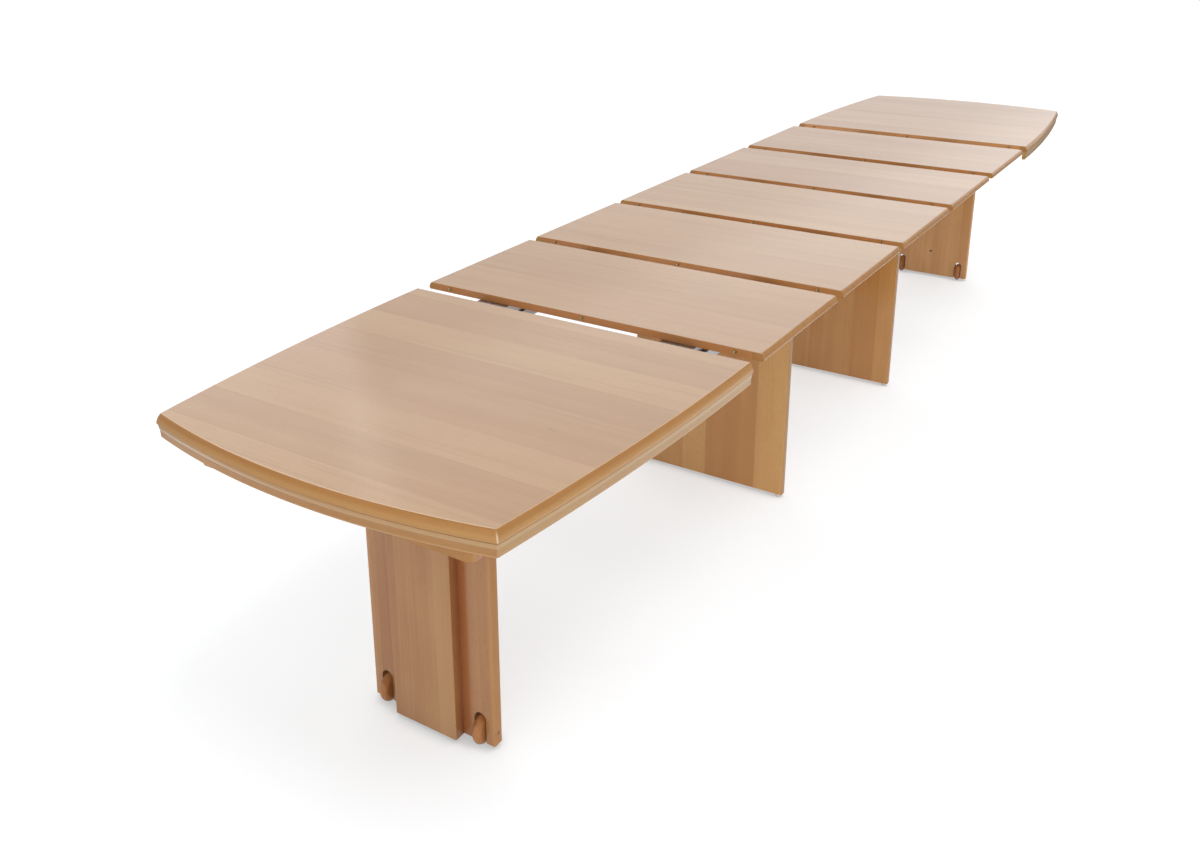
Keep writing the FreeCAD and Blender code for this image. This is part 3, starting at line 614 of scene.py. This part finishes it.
def beech(name, pick_axes, pale, warm, strip, spread=0.3, bands=22.0,
          coat_gloss=0.16, marks=(), lacquer=FULL_COAT, rosy_staves=0.1):
    """A lacquered beech finish. pick_axes takes the finish and gives the
    signals along the grain, across it and into the thickness, in metres.
    strip is the width of a stave, spread how far staves differ in tone, and
    bands the broad noise steps per metre. Each mark is a function that says
    where it lies, and its colour. lacquer is the weight of the coat, or a
    function that says where it lies, and rosy_staves says how much some
    staves lean to red."""
    f = Finish(name)
    along, across, thick = pick_axes(f)
    sway = f.noise(across * 7.0, along * 2.0, thick * 7.0, 1.0) - 0.5
    strips = {"W": across + sway * 0.004, "Scale": 1 / strip, "Randomness": 0.7}
    stave = f.node("ShaderNodeTexVoronoi", {"voronoi_dimensions": "1D"}, strips, "Color")
    pick = f.node("ShaderNodeSeparateColor", {}, {0: stave})
    shift = pick.beside("Green") * 40.0
    wander = f.noise(across * 5.0, along * 1.3, shift, 1.0) - 0.5
    lie = across + wander * 0.03
    broad = f.noise(lie * bands, thick * bands, along * 0.7 + shift, 2.0, 0.5)
    cloud = f.noise(across * 9.0, along * 5.0, shift, 3.0, 0.55)
    lines = f.noise(lie * LINES, thick * LINES, along * 2.2 + shift, 3.0, 0.6)
    fibre = f.noise(lie * FIBRES, thick * FIBRES, along * 16.0 + shift, 1.0)
    speck = f.noise(lie * SPECKS, thick * SPECKS, along * 90.0 + shift, 0.0)
    fleck = f.fade(speck, 0.66, 0.78)
    drawn = f.fade(lines, 0.52, 0.8) * f.fade(broad, 0.42, 0.62)
    tone = (broad - 0.5) * 0.9 + (cloud - 0.5) * 0.6 + (lines - 0.5) * 0.35 + (fibre - 0.5) * 0.2
    tone = tone + (pick - 0.5) * (2 * spread) + 0.5
    dark = tuple(DARKER * v for v in warm[:3]) + (1.0,)
    tint = f.blend(f.fade(tone, -0.05, 1.05), pale, warm)
    rosy = tuple(k * v for k, v in zip(ROSIER, warm[:3])) + (1.0,)
    blush = f.noise(across * 6.0, along * 2.0, shift + 7.0, 2.0)
    tint = f.blend(f.fade(blush, 0.42, 0.7) * 0.2 + pick.beside("Blue") * rosy_staves, tint, rosy)
    tint = f.blend(drawn * 0.28, tint, dark)
    tint = f.blend(fleck * 0.22, tint, dark)
    for where, stain in marks:
        tint = f.blend(where(f), tint, stain)
    rough = 0.5 + (lines - 0.5) * 0.2 + fleck * 0.1
    height = lines * 0.6 + fibre * 0.4 - fleck * 0.5
    normal = f.node("ShaderNodeBump", {}, {"Strength": 0.1, "Distance": 0.0003, "Height": height})
    return f.surface(Base_Color=tint, Roughness=rough, Normal=normal, Specular_IOR_Level=0.1,
                     Coat_Weight=lacquer(f) if callable(lacquer) else lacquer, Coat_Roughness=coat_gloss)


print("pattern steps per metre:", LINES, FIBRES, SPECKS)

# %% Grain directions
STAVE_START = 0.52              # brings a dark stave beside a pale one
STAVE_SLIP, STRIP_SLIP = 0.4, 0.3       # sideways slip of the pattern with depth
END_STRIP = 22.3 * MM           # width of an insert's moulded end strips
strip_start = half_width - END_STRIP


def across_table(f):
    """Veneer of the tops: grain across the table."""
    x, y, z = f.axes()
    return y, x, z


def upright(f):
    """Legs: grain upright, the staves side by side."""
    x, y, z = f.axes()
    return z, y + x * STAVE_SLIP, x


def upright_staves(f):
    """Support panels: the same, with the staves set off from the middle."""
    x, y, z = f.axes()
    return z, y + x * STAVE_SLIP + STAVE_START, x


def crosswise(f):
    """Rails, bearers and joint strips: grain across the table."""
    x, y, z = f.axes()
    return y, z + x * STRIP_SLIP, x


def round_the_leaf(f):
    """Mouldings: grain along the swept length."""
    u, v = f.lengths()
    return u, v, v * STRIP_SLIP


def insert_strip(f):
    """Insert strips: along the joint in the middle, along X at the ends."""
    x, y, z = f.axes()
    ends = abs(y) > strip_start
    along = y + ends * (x - y)
    return along, z + (x + ends * (y - x)) * STRIP_SLIP, x


def wheel_blank(f):
    """Wheels: turned from an upright blank."""
    x, y, z = f.axes()
    return z, x, y


print("insert end strips start at", round(strip_start, 4), "m from the middle")

# %% [markdown]
# ## Marks, painted light and painted shade
# A new finish looks moulded in one piece until it carries marks: a coat that
# is thin on some edges, two short scratches. Light and shade are painted into
# the colour too: painted highlights on the arrises, the mitred corner and the
# apron's foot, a painted reflection on the edge strips' toe, painted light on
# the apron's band and the leg panel's rounded edges, and painted shade in the
# groove, beside the leg block and on the supports' narrow sides. Painting them
# on a picture would tie them to one size, so each is a small function of the
# place in the wood that says how strongly it shows. The mouldings' marks are
# placed by the length round their section, which the UV map keeps.

# %% Marks on the edge strips
def round_section(section):
    """How far round a section each of its points lies: the summed lengths of
    the steps from point to point."""
    steps = np.linalg.norm(np.diff(section, axis=0), axis=1)
    return np.concatenate([[0.0], np.cumsum(steps)]).tolist()


round_edge = round_section(EDGE_SECTION)
ARRIS_AT, ARRIS_END = round_edge[2], round_edge[11]     # the upper arris, from the veneer's edge
corner_x = leaf_length - near_high[0]                   # the leaf corners, from the table's middle


def painted_arris_highlight(f):
    """Painted highlight along the arris of the edge strips, broken up by noise."""
    u, v = f.lengths()
    highlight_breakup = f.noise(u * 40.0, u * 3.0, v, 2.0)
    band = f.between(v, (ARRIS_AT - 0.6 * MM, ARRIS_AT), (ARRIS_END - 0.8 * MM, ARRIS_END))
    return band * (0.2 + highlight_breakup * 0.25)


def painted_corner_highlight(f):
    """Painted highlight on the rounded corner where two edge strips meet: t, the
    distance from the mitre plane, is (p - corner) . normal in the leaf's own plan.
    It shows most half way down the strip."""
    x, y, z = f.axes()
    t = (abs(x) - corner_x) * mitre_normal[0] + (abs(y) - corner[1]) * mitre_normal[1]
    drop = (z - top_z) * -1.0
    height = f.between(drop, (1 * MM, 11 * MM), (17 * MM, 23 * MM))
    return (1 - f.fade(abs(t), 0.4 * MM, 2.2 * MM)) * height * 0.55


def painted_toe_reflection(f):
    """Painted reflection on the lower half of the edge strips: paler towards the toe."""
    u, v = f.lengths()
    return f.fade(v, ARRIS_END + 5 * MM, ARRIS_END + 17 * MM) * 0.25


def joint_face(f):
    """The joint strips of an insert, between its moulded ends: their own warmer tone, set paler as painted
    light for the shade in the gaps.
    """
    x, y, z = f.axes()
    return (1 - (abs(y) > strip_start)) * 0.75


print("arris from", round(ARRIS_AT, 4), "to", round(ARRIS_END, 4), "m round the edge section")

# %% Marks on the aprons
round_skirt = round_section(SKIRT_SECTION)
SEAM_AT = (round_skirt[2], round_skirt[3])      # the groove above the apron
BAND_AT = round_skirt[7]                        # the lower end of the apron's band
FOOT_AT = (round_skirt[9], round_skirt[13])     # the apron's lower arris


def seam_shade(f):
    """Painted shade in the groove between edge strip and apron."""
    u, v = f.lengths()
    start, end = SEAM_AT
    return f.between(v, (start - 1.0 * MM, start), (end + 1.1 * MM, end + 2.0 * MM)) * 0.75


def painted_band_light(f):
    """Painted light on the apron's upper band, which leans in."""
    u, v = f.lengths()
    start = SEAM_AT[1]
    return f.between(v, (start + 1.4 * MM, start + 2.4 * MM), (BAND_AT - 1.0 * MM, BAND_AT + 0.4 * MM)) * 0.33


def painted_foot_highlight(f):
    """Painted highlight on the lower arris of the aprons."""
    u, v = f.lengths()
    start, end = FOOT_AT
    return f.between(v, (start - 0.6 * MM, start), (end - 1.2 * MM, end)) * 0.15


def polished_band(f):
    """The end apron's coat: full on its upper band, thin on the face below."""
    u, v = f.lengths()
    return FULL_COAT - f.fade(v, BAND_AT - 0.3 * MM, BAND_AT + 0.5 * MM) * 0.65


print("groove, band and foot at", [round(v, 4) for v in (*SEAM_AT, BAND_AT, *FOOT_AT)])

# %% Marks on the legs and supports
block_half = span("near_leg_block")[1][1]
panel_low, panel_high = span("near_leg_panel")
panel_face, panel_half = -panel_low[0], panel_high[1]
panel_middle = -(panel_low[0] + panel_high[0]) / 2
panel_depth = (panel_high[0] - panel_low[0]) / 2
support_half = span("near_support_panel")[1][1]
THIN_COAT = 0.3


def painted_recess_shade(f):
    """Painted shade beside the leg block: fades out from the block's sides over
    the leg's outer face, further on the right, and from the inner corner over
    the block."""
    x, y, z = f.axes()
    right = (y * -1.0) > 0.0
    beyond = abs(y) - block_half
    away = 1 - f.fade(beyond, 0.0, 30 * MM + right * (46 * MM))
    near_block = f.fade(beyond, -0.4 * MM, 0.0) * away * away
    outer = f.fade(abs(x), panel_face - 1.5 * MM, panel_face - 0.5 * MM)
    return near_block * outer * (0.68 - f.fade(abs(x), panel_face, panel_face + 24 * MM) * 0.42)


def painted_edge_light(f):
    """Painted light on the rounded long edges of the leg panel."""
    x, y, z = f.axes()
    return f.fade(abs(y), panel_half - 14 * MM, panel_half) * 0.25


def thin_on_leg_edges(f):
    """The coat of the legs: thin between the panel's two faces, on its narrow
    sides and in the wheel slots."""
    x, y, z = f.axes()
    off_middle = abs(abs(x) - panel_middle)
    on_faces = f.fade(off_middle, panel_depth - 1.2 * MM, panel_depth - 0.4 * MM)
    return THIN_COAT + on_faces * (FULL_COAT - THIN_COAT)


def on_narrow_side(f):
    """1 on the narrow side faces of the supports."""
    x, y, z = f.axes()
    return f.fade(abs(y), support_half - 2 * MM, support_half - 0.5 * MM)


def painted_side_shade(f):
    """Painted shade on the narrow side faces of the supports."""
    return on_narrow_side(f) * 0.6


def thin_on_support_edges(f):
    """The coat of the supports: thinner on the narrow side faces."""
    return FULL_COAT - on_narrow_side(f) * 0.5


print("block half width", round(block_half, 4), "outer face at", round(panel_face, 4))

# %% Scratches on the near top
# Each scratch has a middle in x and y and a reach to both sides, in metres.
FIRST_SCRATCH, SECOND_SCRATCH = (-1.778, -0.284, 0.014), (-1.308, -0.285, 0.007)


def scratch(f, x0, y0, reach):
    """A short fine scratch across the table on the near leaf."""
    x, y, z = f.axes()
    wobble = f.noise(y * 160.0, 0.0, 0.0, 2.0) - 0.5
    line = 1 - f.fade(abs(x - x0 + wobble * 0.004 - (y - y0) * 0.25), 0.3 * MM, 1.1 * MM)
    return line * (1 - f.fade(abs(y - y0), reach * 0.4, reach)) * 0.7


def first_scratch(f):
    """The longer scratch, half way along the leaf."""
    return scratch(f, *FIRST_SCRATCH)


def second_scratch(f):
    """The shorter scratch, beside the joint."""
    return scratch(f, *SECOND_SCRATCH)


print("scratches at x", FIRST_SCRATCH[0], "and", SECOND_SCRATCH[0])

# %% [markdown]
# ## The woods
# The tops, mouldings, legs, supports and rails come from different boards, so
# each gets its own pair of tones, a pale and a warm one. The values are the
# colours of the bare wood, with three exceptions. The far leg is the near leg's
# wood, its tones painted lighter as painted light for the shade under the far
# leaf. The supports and the joint strips have tones of their own, also set
# paler as painted light for the shade under the table and in the gaps. What the
# eye takes for a paler top is the far wall mirrored in its lacquer, and the
# coat adds that by itself.

# %% Tones of the woods
TOP = colour(176, 137, 91), colour(160, 118, 73)
EDGE = colour(178, 132, 77), colour(160, 110, 58)
SKIRT = colour(178, 136, 90), colour(161, 116, 70)
SIDE_SKIRT = colour(183, 145, 92), colour(167, 125, 72)
# the joint strips' own warmer tone, set paler as painted light for the shade in the gaps between leaves
JOINT = colour(200, 146, 96), colour(184, 125, 76)
LEG = colour(177, 133, 83), colour(154, 102, 55)
# painted light: the far leg is the near leg's wood, its tones set paler for the shade under the far leaf
FAR_LEG_LIGHTENED = colour(213, 167, 109), colour(186, 132, 77)
# the supports' own yellower tone, also set paler as painted light for the shade under the table
SUPPORT = colour(205, 157, 95), colour(183, 128, 69)
RAIL = colour(187, 141, 90), colour(167, 116, 65)
WHEEL = colour(176, 122, 74), colour(146, 88, 46)
# a painted highlight, painted shade, and the colour of real scratches
HIGHLIGHT_CREAM, SHADE_BROWN, SCRATCHED = colour(222, 198, 160), colour(138, 64, 30), colour(92, 58, 34)
# painted light on the leg panel's edges, painted shade on the supports' narrow sides
EDGE_LIGHT, SIDE_SHADE = colour(214, 162, 100), colour(136, 100, 66)
# painted light on the apron band, a painted reflection on the toe, a painted highlight on the corner
BAND_LIGHT, TOE_REFLECTION, CORNER_SHINE = colour(206, 181, 142), colour(206, 170, 116), colour(236, 216, 200)
print("top tones:", [[round(v, 3) for v in tone[:3]] for tone in TOP])

# %% Wood finishes
STAVE = 0.085           # width of the staves in legs and supports, in metres
SWEPT = {"strip": 2.0, "bands": 60.0}       # one long stave, narrow bands
SHORT = {"strip": 1.0, "bands": 60.0}
# painted reflection and painted highlights on the edge strips
edge_marks = [(painted_toe_reflection, TOE_REFLECTION), (painted_arris_highlight, HIGHLIGHT_CREAM), (painted_corner_highlight, CORNER_SHINE)]
# painted shade in the groove, painted light on the band, a painted highlight on the foot
skirt_marks = [(seam_shade, SHADE_BROWN), (painted_band_light, BAND_LIGHT), (painted_foot_highlight, HIGHLIGHT_CREAM)]
finishes = {
    "top_veneer": beech(
        "top_veneer", across_table, *TOP, 0.13, spread=0.34, coat_gloss=0.13, rosy_staves=0.35,
        marks=[(first_scratch, SCRATCHED), (second_scratch, SCRATCHED)]),
    "edge_moulding": beech("edge_moulding_wood", round_the_leaf, *EDGE, marks=edge_marks, **SWEPT),
    "skirt_moulding": beech(
        "skirt_moulding_wood", round_the_leaf, *SIDE_SKIRT, marks=skirt_marks, lacquer=0.7, **SWEPT),
    "end_skirt_moulding": beech(
        "end_skirt_moulding_wood", round_the_leaf, *SKIRT, marks=skirt_marks, lacquer=polished_band, **SWEPT),
    "insert_strip": beech(
        "insert_strip_wood", insert_strip, *EDGE, marks=[(joint_face, JOINT[1])], **SHORT),
    "joint_strip": beech("joint_strip_wood", crosswise, *JOINT, **SHORT),
    # the near leg: painted shade beside the block, painted light on the panel's rounded edges
    "leg_wood": beech(
        "leg_wood", upright, *LEG, STAVE, spread=0.4,
        marks=[(painted_recess_shade, SHADE_BROWN), (painted_edge_light, EDGE_LIGHT)], lacquer=thin_on_leg_edges),
    # the supports: tones partly painted light, painted shade on the narrow sides
    "support_wood": beech(
        "support_wood", upright_staves, *SUPPORT, STAVE, spread=0.6,
        marks=[(painted_side_shade, SIDE_SHADE)], lacquer=thin_on_support_edges),
    # the far leg: tones painted lighter for its shade, painted shade beside the block
    "far_leg_lightened_wood": beech(
        "far_leg_lightened_wood", upright, *FAR_LEG_LIGHTENED, STAVE, spread=0.4,
        marks=[(painted_recess_shade, SHADE_BROWN)], lacquer=thin_on_leg_edges),
    "frame_wood": beech("frame_wood", crosswise, *RAIL, 0.06),
    "wheel_wood": beech(
        "wheel_wood", wheel_blank, *WHEEL, 0.2, bands=70.0, coat_gloss=0.2, lacquer=0.4),
}
print("wood finishes:", list(finishes))

# %% [markdown]
# ## Metals and nylon
# The runners are plain drawn aluminium with faint lines along their length.
# Pins are brass, axles and screws zinc-plated steel, the leg screws darker.
# Drawn metal could be one flat grey, but the lines and the smudged roughness
# are what tell it from paint.

# %% Metal finishes
DRAWN_ALONG, DRAWN_ACROSS, SMUDGES = 6.0, 900.0, 30.0      # noise steps per metre


def drawn_metal(name, pale, dark, along_axis, roughness, metallic=1.0):
    """Metal, or nylon if metallic is 0, with fine drawing lines along one axis
    and a clouded roughness."""
    f = Finish(name)
    axes = f.axes()
    stretched = [a * (DRAWN_ALONG if k == along_axis else DRAWN_ACROSS) for k, a in enumerate(axes)]
    lines = f.noise(*stretched, 2.0)
    cloud = f.noise(*[a * SMUDGES for a in axes], 3.0)
    tint = f.blend(f.fade(lines * 0.6 + cloud * 0.4, 0.3, 0.7), dark, pale)
    rough = roughness + (cloud - 0.5) * 0.25 + (lines - 0.5) * 0.1
    normal = f.node("ShaderNodeBump", {}, {"Strength": 0.15, "Distance": 0.0001, "Height": lines})
    return f.surface(Base_Color=tint, Roughness=rough, Metallic=metallic, Normal=normal)


finishes |= {
    "runner_metal": drawn_metal("runner_metal", colour(196, 197, 199), colour(164, 166, 168), 0, 0.42),
    "pin_brass": drawn_metal("pin_brass", colour(196, 184, 138), colour(158, 144, 102), 0, 0.48),
    "axle_steel": drawn_metal("axle_steel", colour(214, 214, 216), colour(180, 180, 183), 1, 0.34),
    "dark_steel": drawn_metal("dark_steel", colour(96, 88, 80), colour(58, 52, 46), 0, 0.45),
    "glide_nylon": drawn_metal("glide_nylon", colour(226, 226, 222), colour(206, 205, 200), 2, 0.5, 0.0),
}
print("finishes:", len(finishes))

# %% Dress every part
def dress(objects, finish):
    """Puts one finish into every material slot of the objects."""
    for o in objects:
        if o.material_slots:
            for slot in o.material_slots:
                slot.material = finishes[finish]
        else:
            o.data.materials.append(finishes[finish])


dress(tops, "top_veneer")
dress([m for m in mouldings if m.name.endswith("edge")], "edge_moulding")
dress([m for m in mouldings if m.name.endswith(("left_skirt", "right_skirt"))], "skirt_moulding")
dress([m for m in mouldings if m.name.endswith("end_skirt")], "end_skirt_moulding")
dress(wheels, "wheel_wood")
dress(pins, "pin_brass")
dress(screws, "axle_steel")
dress(leg_screws, "dark_steel")
CAD_FINISHES = {
    "_joint_lipping": "joint_strip", "_lippings": "insert_strip",
    "near_leg_panel": "leg_wood", "near_leg_block": "leg_wood",
    "far_leg_panel": "far_leg_lightened_wood", "far_leg_block": "far_leg_lightened_wood",
    "_support_panel": "support_wood", "_end_rail": "frame_wood",
    "_bearer": "frame_wood", "_runners": "runner_metal", "_axles": "axle_steel", "_glides": "glide_nylon",
}
for ending, finish in CAD_FINISHES.items():
    members = [o for name, o in nodes.items() if name.endswith(ending)]
    dress(members, finish)
    print(ending, len(members), "->", finish)

# %% [markdown]
# ## Floor, light and camera
# The table was photographed on white. A brighter lamp would only bleach the
# wood, so the floor and the world show plain white to the camera and light
# the wood at a plain level. The floor keeps part of its real shading and a
# painted contact shadow under the feet, so the shadow under the table stays.
# Lacquer is a weak mirror, and an all-white room would make it look like
# chalk, so glossy rays see the studio: dim walls, one white wall beyond the
# far end, a white sheet on the floor round the table, and a few softboxes.

# %% Floor
REACH = 14.0
floor_mesh = bpy.data.meshes.new("floor")
floor_mesh.from_pydata([(-REACH, -REACH, 0), (REACH, -REACH, 0), (REACH, REACH, 0), (-REACH, REACH, 0)],
                       [], [(0, 1, 2, 3)])
floor = bpy.data.objects.new("floor", floor_mesh)
bpy.context.scene.collection.objects.link(floor)
print("floor reaches", REACH, "m to each side")

# %% Floor finish
PAINT = 0.95            # the floor as it lights the wood
FLOOR_SHADE = 0.48      # share of the floor's look that is its real shading
COOL = (0.97, 1.0, 1.03)        # a trace of blue against the warm light under the wood
OPEN_FLOOR = 0.82       # light at which the floor reaches plain white
CONTACT = 0.045         # reach of the dark contact shadow under the feet, in metres
CONTACT_GREY, CONTACT_SHARE = 0.3, 0.55
STUDIO_FLOOR = 0.2      # the grey beyond the white sheet, as the lacquer mirrors it
WHITE = (1, 1, 1, 1)


def grey(level):
    """A grey as the four values of a colour socket."""
    return (level, level, level, 1)


f = Finish("floor")
x, y, z = f.axes()
path = f.node("ShaderNodeLightPath", {}, {}, "Is Camera Ray")
seen = f.fade(path + path.beside("Is Transmission Ray"), 0.0, 1.0)
mirrored = path.beside("Is Glossy Ray")
sheet = f.between(x, (-2.75, -2.45), (2.8, 3.8)) * f.between(y, (-4.0, -3.0), (1.5, 1.75))
real = f.node("ShaderNodeBsdfDiffuse", {}, {"Color": grey(PAINT)})
beyond = f.node("ShaderNodeBsdfDiffuse", {}, {"Color": grey(STUDIO_FLOOR)})
shade = f.node("ShaderNodeBsdfDiffuse", {}, {"Color": (*(k * FLOOR_SHADE for k in COOL), 1)})
plain = f.node("ShaderNodeEmission", {}, {"Color": WHITE, "Strength": 1 - FLOOR_SHADE * OPEN_FLOOR})
lit = f.node("ShaderNodeAddShader", {}, {0: shade, 1: plain})
# painted contact shadow: a dark grey shown where ambient occlusion finds the feet close
open_sky = f.node("ShaderNodeAmbientOcclusion", {"samples": 16}, {"Distance": CONTACT}, "AO")
contact = (1 - f.fade(open_sky, 0.2, 0.95)) * CONTACT_SHARE
dusk = f.node("ShaderNodeEmission", {}, {"Color": grey(CONTACT_GREY), "Strength": 1.0})
white = f.node("ShaderNodeMixShader", {}, {0: contact, 1: lit, 2: dusk})
look = f.node("ShaderNodeMixShader", {}, {0: mirrored * (1 - sheet), 1: white, 2: beyond})
shown = f.node("ShaderNodeMixShader", {}, {0: f.fade(seen + mirrored, 0.0, 1.0), 1: real, 2: look})
f.node("ShaderNodeOutputMaterial", {}, {"Surface": shown})
floor_mesh.materials.append(f.owner)
print("floor shading:", FLOOR_SHADE, "contact shadow:", CONTACT, "m")

# %% World
WORLD_LIGHT = 0.12              # what the walls add to the lamps
ROOM, FAR_WALL = 0.25, 0.92     # the walls, as the lacquer mirrors them
world = bpy.data.worlds.new("studio")
bpy.context.scene.world = world
w = Finish("studio", world)


def mirrored_walls(w):
    """The walls that the lacquer mirrors: dim ones, and beyond the far end of
    the table one that is white above and a little greyer below."""
    way = w.node("ShaderNodeTexCoord", {}, {}, "Generated")
    x = w.node("ShaderNodeSeparateXYZ", {}, {0: way})
    y, z = x.beside("Y"), x.beside("Z")
    wall = w.fade(y, -0.25, 0.15) * w.fade(x, -0.1, 0.35)
    far = FAR_WALL + w.fade(z, 0.17, 0.27) * (1 - FAR_WALL)
    return ROOM + wall * (far - ROOM)


path = w.node("ShaderNodeLightPath", {}, {}, "Is Camera Ray")
glossy = path.beside("Is Glossy Ray")
white = w.fade(path + path.beside("Is Transmission Ray"), 0.0, 1.0)
strength = WORLD_LIGHT + white * (1 - WORLD_LIGHT) + glossy * (mirrored_walls(w) - WORLD_LIGHT)
glow = w.node("ShaderNodeBackground", {}, {"Color": WHITE, "Strength": strength})
w.node("ShaderNodeOutputWorld", {}, {"Surface": glow})
print("world light:", WORLD_LIGHT, "mirrored walls:", ROOM, "to", FAR_WALL)

# %% Lamps
FAR_OFF = 40.0          # distance of the softboxes, in metres
LEAN = 29               # the far softbox leans over the table, in degrees


def soft_sun(name, towards, strength, spread):
    """A very wide sun: even soft light that falls along a direction. The
    lacquer mirrors the walls and the softboxes, so the sun itself is not seen."""
    lamp = bpy.data.lights.new(name, "SUN")
    lamp.energy, lamp.angle = strength, math.radians(spread)
    sun = bpy.data.objects.new(name, lamp)
    sun.visible_glossy = False
    bpy.context.scene.collection.objects.link(sun)
    sun.rotation_euler = Vector(towards).to_track_quat("-Z", "Y").to_euler()
    return sun


def softbox(name, towards, width, height, glow, lean=0.0):
    """A flat lamp far off, of that width and height per metre of distance,
    that shows only as a reflection. Its power is 4 x area x glow."""
    lamp = bpy.data.lights.new(name, "AREA")
    lamp.shape = "RECTANGLE"
    lamp.size, lamp.size_y = width * FAR_OFF, height * FAR_OFF
    lamp.energy = 4 * lamp.size * lamp.size_y * glow
    box = bpy.data.objects.new(name, lamp)
    box.visible_camera = box.visible_diffuse = box.visible_transmission = False
    bpy.context.scene.collection.objects.link(box)
    way = Vector(towards).normalized()
    box.location = way * FAR_OFF
    turn = (-way).to_track_quat("-Z", "Y") @ Quaternion((0, 0, 1), math.radians(lean))
    box.rotation_euler = turn.to_euler()
    return box


# A sun: its name, the way its light falls, its strength, its spread in degrees.
soft_sun("dome", (0.0, 0.56, -0.83), 2.0, 172)
soft_sun("key_light", (0.0, 0.38, -0.92), 0.9, 26)
soft_sun("front_fill", (0.93, 0.32, -0.17), 1.1, 50)
soft_sun("back_fill", (-0.72, -0.66, -0.22), 1.2, 60)
# A softbox: its name, where it hangs, its width and height, its glow, its lean.
softbox("far_softbox", (0.897, 0.142, 0.418), 1.3, 0.46, 0.5, LEAN)
softbox("left_window", (0.24, 0.9, 0.37), 1.0, 0.8, 0.5)
softbox("overhead_softbox", (0.2, 0.6, 0.78), 0.9, 0.4, 2.2)
print("lamps:", [lamp.name for lamp in bpy.data.lights])

# %% Camera
LENS_PIXELS, CENTRE_X, CENTRE_Y = 1162.4, 562.5, 282.8       # fitted to the photo, in its pixels
WIDTH, HEIGHT, SENSOR = 1200, 849, 36.0
RIGHT, UP = (0.54676, -0.83725, -0.00840), (0.27435, 0.16966, 0.94654)
FORWARD = (0.79107, 0.51984, -0.32246)
STAND_AT = (-3.4305, -1.3968, 1.7317)
camera_data = bpy.data.cameras.new("photo_camera")
camera_data.sensor_width = SENSOR
camera_data.lens = LENS_PIXELS / WIDTH * SENSOR
camera_data.shift_x = (WIDTH / 2 - CENTRE_X) / WIDTH
camera_data.shift_y = (CENTRE_Y - HEIGHT / 2) / WIDTH
camera_data.clip_end = 100
camera = bpy.data.objects.new("photo_camera", camera_data)
bpy.context.scene.collection.objects.link(camera)
place = np.eye(4)
place[:3] = np.stack([RIGHT, UP, -np.array(FORWARD), STAND_AT], -1)
camera.matrix_world = Matrix(place.tolist())
bpy.context.scene.camera = camera
bpy.context.scene.view_settings.view_transform = "Standard"
print("lens", round(camera_data.lens, 2), "shift", round(camera_data.shift_x, 4),
      round(camera_data.shift_y, 4))

# %% [markdown]
# ## The box
# Dressing must not change the table's size.
